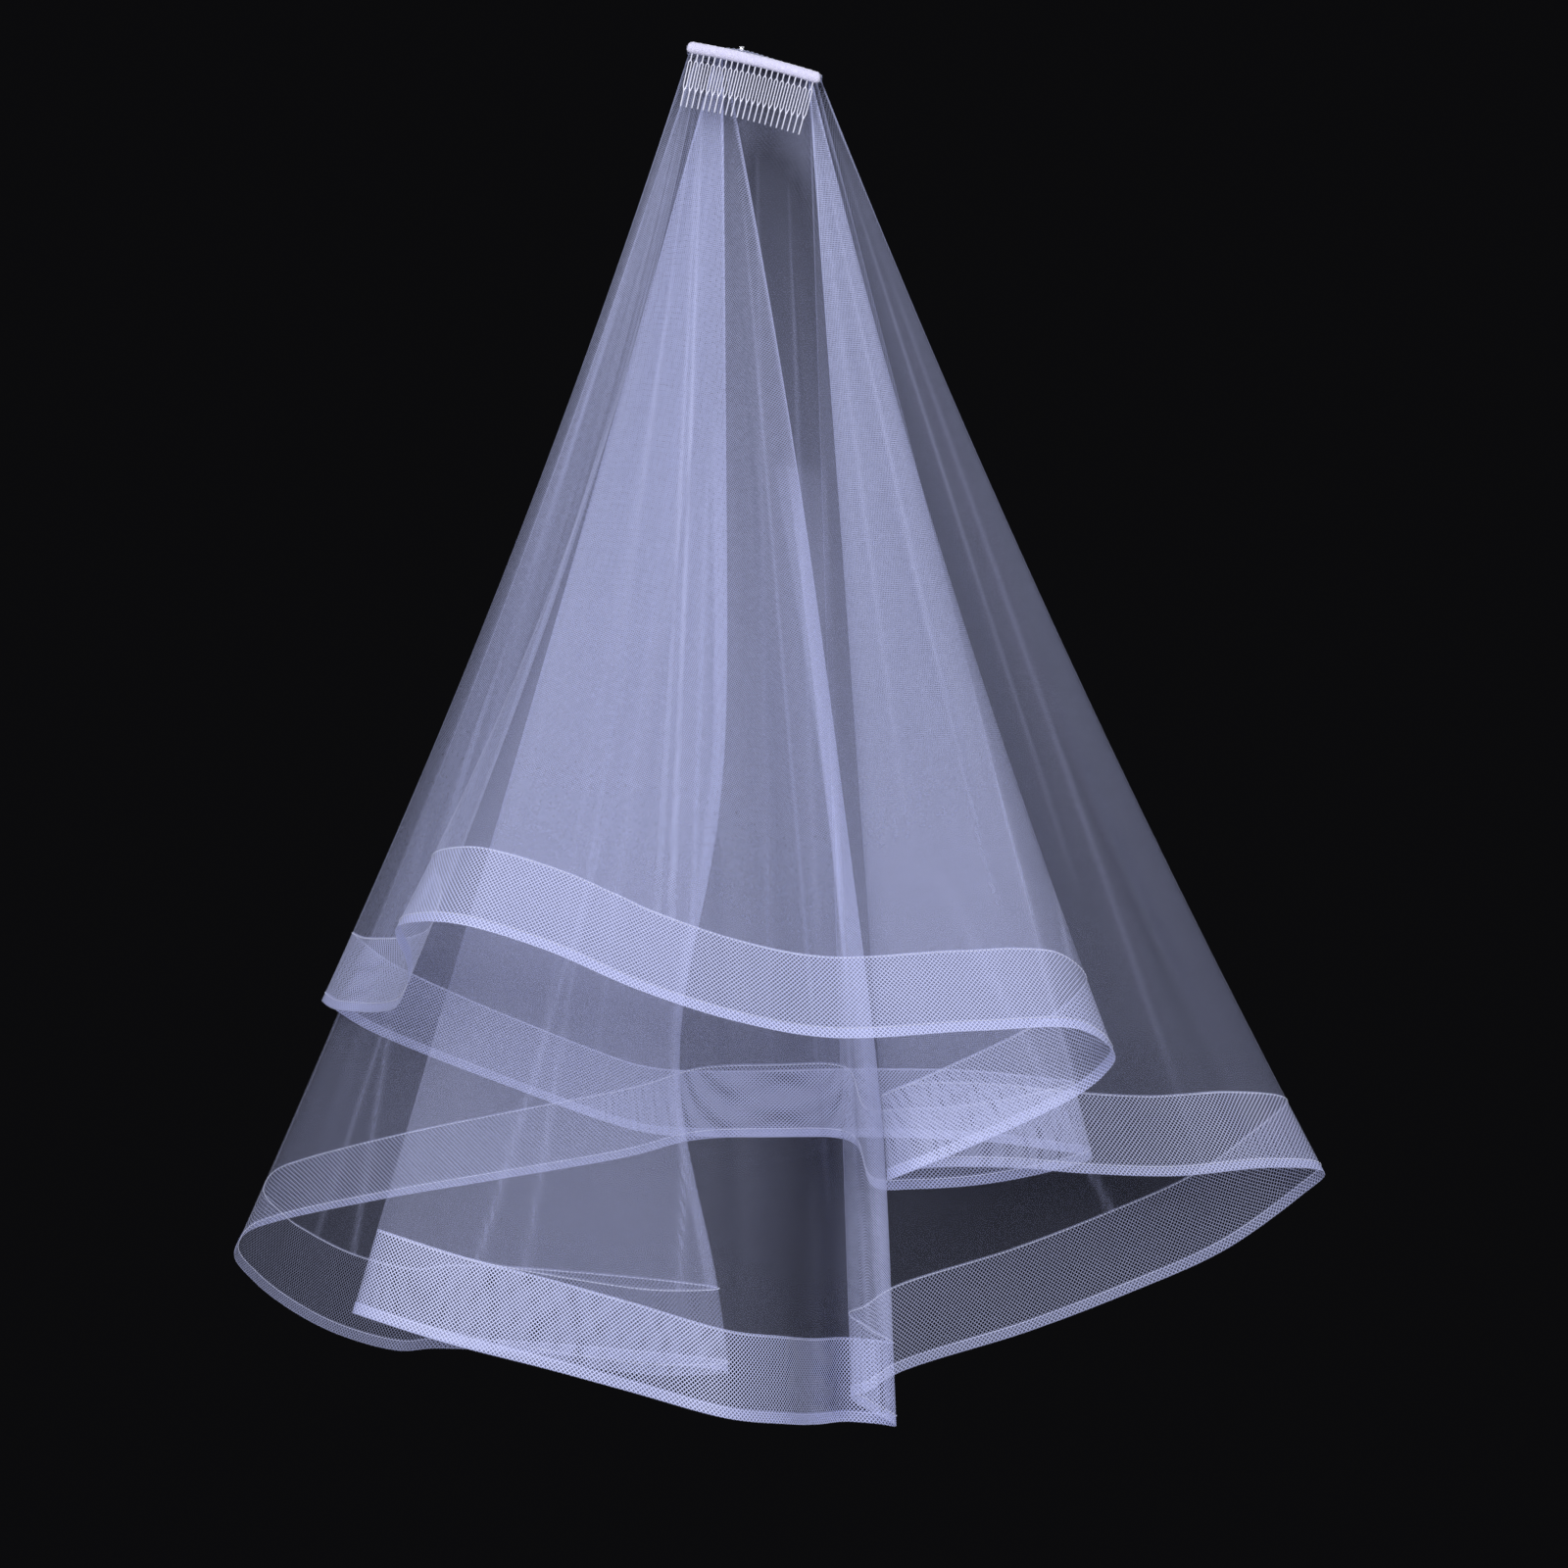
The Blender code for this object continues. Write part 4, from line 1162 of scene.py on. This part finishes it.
@dataclass
class Comb:
    """The wire comb: its bar wound with ribbon, and its teeth."""

    drape: Drape
    radius: float = 0.0033
    tall: float = 1.24
    lift: float = 0.0007
    step: float = 0.00022
    turn_pitch: float = 0.0052
    turns_drop: float = 0.0085
    tilt: float = math.radians(13.5)
    arch: float = 0.0025
    rings: int = 190
    sides: int = 28

    def bar_height(self, across: np.ndarray) -> np.ndarray:
        """The height of the bar's middle line above the pin."""
        along = across - self.drape.comb_middle
        arch = self.arch * (1 - (2 * along / self.drape.comb_length) ** 2)
        return -self.turns_drop - self.arch - along * math.tan(self.tilt) + arch

    def bar(self) -> bpy.types.Object:
        """The bar: a round rod whose ribbon overlaps itself in a spiral, with rounded ends."""
        deselect()
        bpy.ops.mesh.primitive_cylinder_add(
            vertices=self.sides, radius=1.0, depth=1.0, end_fill_type="TRIFAN"
        )
        piece = bpy.context.object
        piece.name = piece.data.name = "Ribbon_wound_bar"
        bm = bmesh.new()
        bm.from_mesh(piece.data)
        upright = [e for e in bm.edges if abs(e.verts[0].co.z - e.verts[1].co.z) > 0.5]
        bmesh.ops.subdivide_edges(bm, edges=upright, cuts=self.rings - 1)
        cut = bm.loops.layers.uv.new("Cut")
        length = self.drape.comb_length
        start = self.drape.comb_middle - length / 2
        for face in bm.faces:
            for loop in face.loops:
                place = loop.vert.co
                turn = math.atan2(place.y, place.x)
                loop[cut].uv = ((place.z + 0.5) * length, turn * self.radius)
        for vertex in bm.verts:
            share = vertex.co.z + 0.5
            along = share * length
            turn = math.atan2(vertex.co.y, vertex.co.x)
            on_axis = math.hypot(vertex.co.x, vertex.co.y) < 0.5
            spiral = (along / self.turn_pitch + turn / math.tau) % 1.0
            radius = self.radius + self.step * (spiral - 0.5)
            from_end = min(along, length - along)
            if from_end < self.radius:
                inward = 1 - from_end / self.radius
                radius *= math.sqrt(max(0.0, 1 - 0.75 * inward**2))
            across = start + along
            centre = Vector((across, float(self.drape.bar_depth(across)) - PIN_REACH, 0.0))
            centre.z = float(self.bar_height(across))
            if not on_axis:
                tilt = self.tilt
                up = Vector((math.sin(tilt), 0, math.cos(tilt)))
                centre += up * (math.sin(turn) * radius * self.tall + self.lift)
                centre -= Vector((0, 1, 0)) * math.cos(turn) * radius
            vertex.co = centre
        bmesh.ops.recalc_face_normals(bm, faces=bm.faces)
        bm.to_mesh(piece.data)
        bm.free()
        piece.data.shade_smooth()
        return piece

    def build(self, finishes: "Finishes") -> None:
        """Makes the bar and dresses the teeth."""
        bar = self.bar()
        bar.data.materials.clear()
        bar.data.materials.append(finishes.ribbon)
        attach(bar, BODY)
        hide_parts("Comb_bar")
        LOG.info("%s: %d faces", bar.name, len(bar.data.polygons))
        for name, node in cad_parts.items():
            if name.startswith("Comb_tooth"):
                node.data.materials.clear()
                node.data.materials.append(finishes.wire)
                LOG.info("%s keeps its solid", name)


@dataclass
class Pin:
    """The ball-headed pin, which keeps its solid."""

    node: str = "Hanging_pin"

    def build(self, finishes: "Finishes") -> None:
        """Dresses the pin."""
        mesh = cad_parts[self.node].data
        mesh.materials.clear()
        mesh.materials.append(finishes.steel)
        LOG.info("%s keeps its solid", self.node)


@dataclass
class Finishes:
    """The finishes of the whole veil, made once."""

    effects: Effects = field(default_factory=Effects)

    def __post_init__(self) -> None:
        """Makes each material."""
        wire = MetalFinish("Comb_wire", (0.88, 0.87, 1.0, 1.0), 0.28, 0.42, 400.0, 0.25)
        steel = MetalFinish("Pin_steel", (0.92, 0.92, 0.96, 1.0), 0.15, 0.25, 200.0, 0.8)
        self.net = NetFinish().material(self.effects)
        self.braid = BraidFinish().material(self.effects)
        self.ribbon = RibbonFinish().material(self.effects)
        self.thread = ThreadFinish().material(self.effects)
        self.wire = wire.material(self.effects)
        self.steel = steel.material(self.effects)


class Lamp(NamedTuple):
    """A soft square lamp: its place, what it faces, its side and its power."""

    name: str
    place: tuple[float, float, float]
    facing: tuple[float, float, float]
    side: float
    power: float


@dataclass
class Studio:
    """The pale floor, the dark room, the soft lamps and the camera."""

    middle: tuple[float, float, float] = (0.02, -0.02, -0.50)
    floor_drop: float = 1.30
    floor_radius: float = 0.85
    camera_place: tuple[float, float, float] = (0.030, -2.630, -0.521)
    focal_pixels: float = 3741.0
    sensor: float = 36.0
    room: tuple[float, float, float, float] = (0.0035, 0.0035, 0.0040, 1.0)
    lamps: tuple[Lamp, ...] = (
        Lamp("Key_lamp", (-1.3, -2.3, 0.9), (0.02, 0.0, -0.5), 1.3, 75.0),
        Lamp("Fill_lamp", (1.6, -2.1, -0.1), (0.05, 0.0, -0.6), 1.3, 36.0),
        Lamp("Back_lamp", (0.2, 2.2, 0.7), (0.02, 0.0, -0.5), 1.4, 31.0),
    )

    def floor(self) -> None:
        """A round pale floor below the veil."""
        deselect()
        place = (self.middle[0], self.middle[1], -self.floor_drop)
        bpy.ops.mesh.primitive_circle_add(
            vertices=96, radius=self.floor_radius, fill_type="NGON", location=place
        )
        floor = bpy.context.object
        floor.name = "Floor"
        material, nodes, shader = bare_material("Pale_floor")
        shader.inputs["Base Color"].default_value = (0.72, 0.72, 0.74, 1.0)
        shader.inputs["Roughness"].default_value = 0.9
        floor.data.materials.append(material)

    def light(self) -> None:
        """The dark room and its lamps."""
        world = bpy.data.worlds.new("Dark_room")
        world.use_nodes = True
        world.node_tree.nodes["Background"].inputs["Color"].default_value = self.room
        bpy.context.scene.world = world
        for lamp in self.lamps:
            data = bpy.data.lights.new(lamp.name, "AREA")
            data.size = lamp.side
            data.energy = lamp.power
            data.color = (0.93, 0.95, 1.0)
            obj = bpy.data.objects.new(lamp.name, data)
            obj.location = lamp.place
            way = Vector(lamp.facing) - Vector(lamp.place)
            obj.rotation_euler = way.to_track_quat("-Z", "Y").to_euler()
            bpy.context.scene.collection.objects.link(obj)

    def shoot(self) -> None:
        """The camera, level and square to the front."""
        data = bpy.data.cameras.new("Camera")
        data.sensor_width = self.sensor
        data.lens = self.focal_pixels / PHOTO_SIDE * self.sensor
        camera = bpy.data.objects.new("Camera", data)
        camera.location = self.camera_place
        camera.rotation_euler = (math.pi / 2, 0.0, 0.0)
        bpy.context.scene.collection.objects.link(camera)
        bpy.context.scene.camera = camera

    def build(self) -> None:
        """Makes the whole studio."""
        self.floor()
        self.light()
        self.shoot()
        scene = bpy.context.scene
        scene.view_settings.view_transform = "Standard"
        scene.cycles.transparent_max_bounces = 40


def main() -> None:
    """Builds the veil and its studio."""
    logging.basicConfig(level=logging.INFO, format="%(name)s: %(message)s")
    studio = Studio()
    studio.build()
    finishes = Finishes()
    drape = Drape()
    Tier("upper", BACK_SEAM, FRONT_SEAM, drape, (1.30, 0.64), 0.63).build(finishes)
    Tier("lower", FRONT_SEAM, BACK_SEAM, drape, (1.90, 1.00), 1.50).build(finishes)
    Heading(drape).build(finishes)
    Comb(drape).build(finishes)
    Pin().build(finishes)


if __name__ == "__main__":
    main()
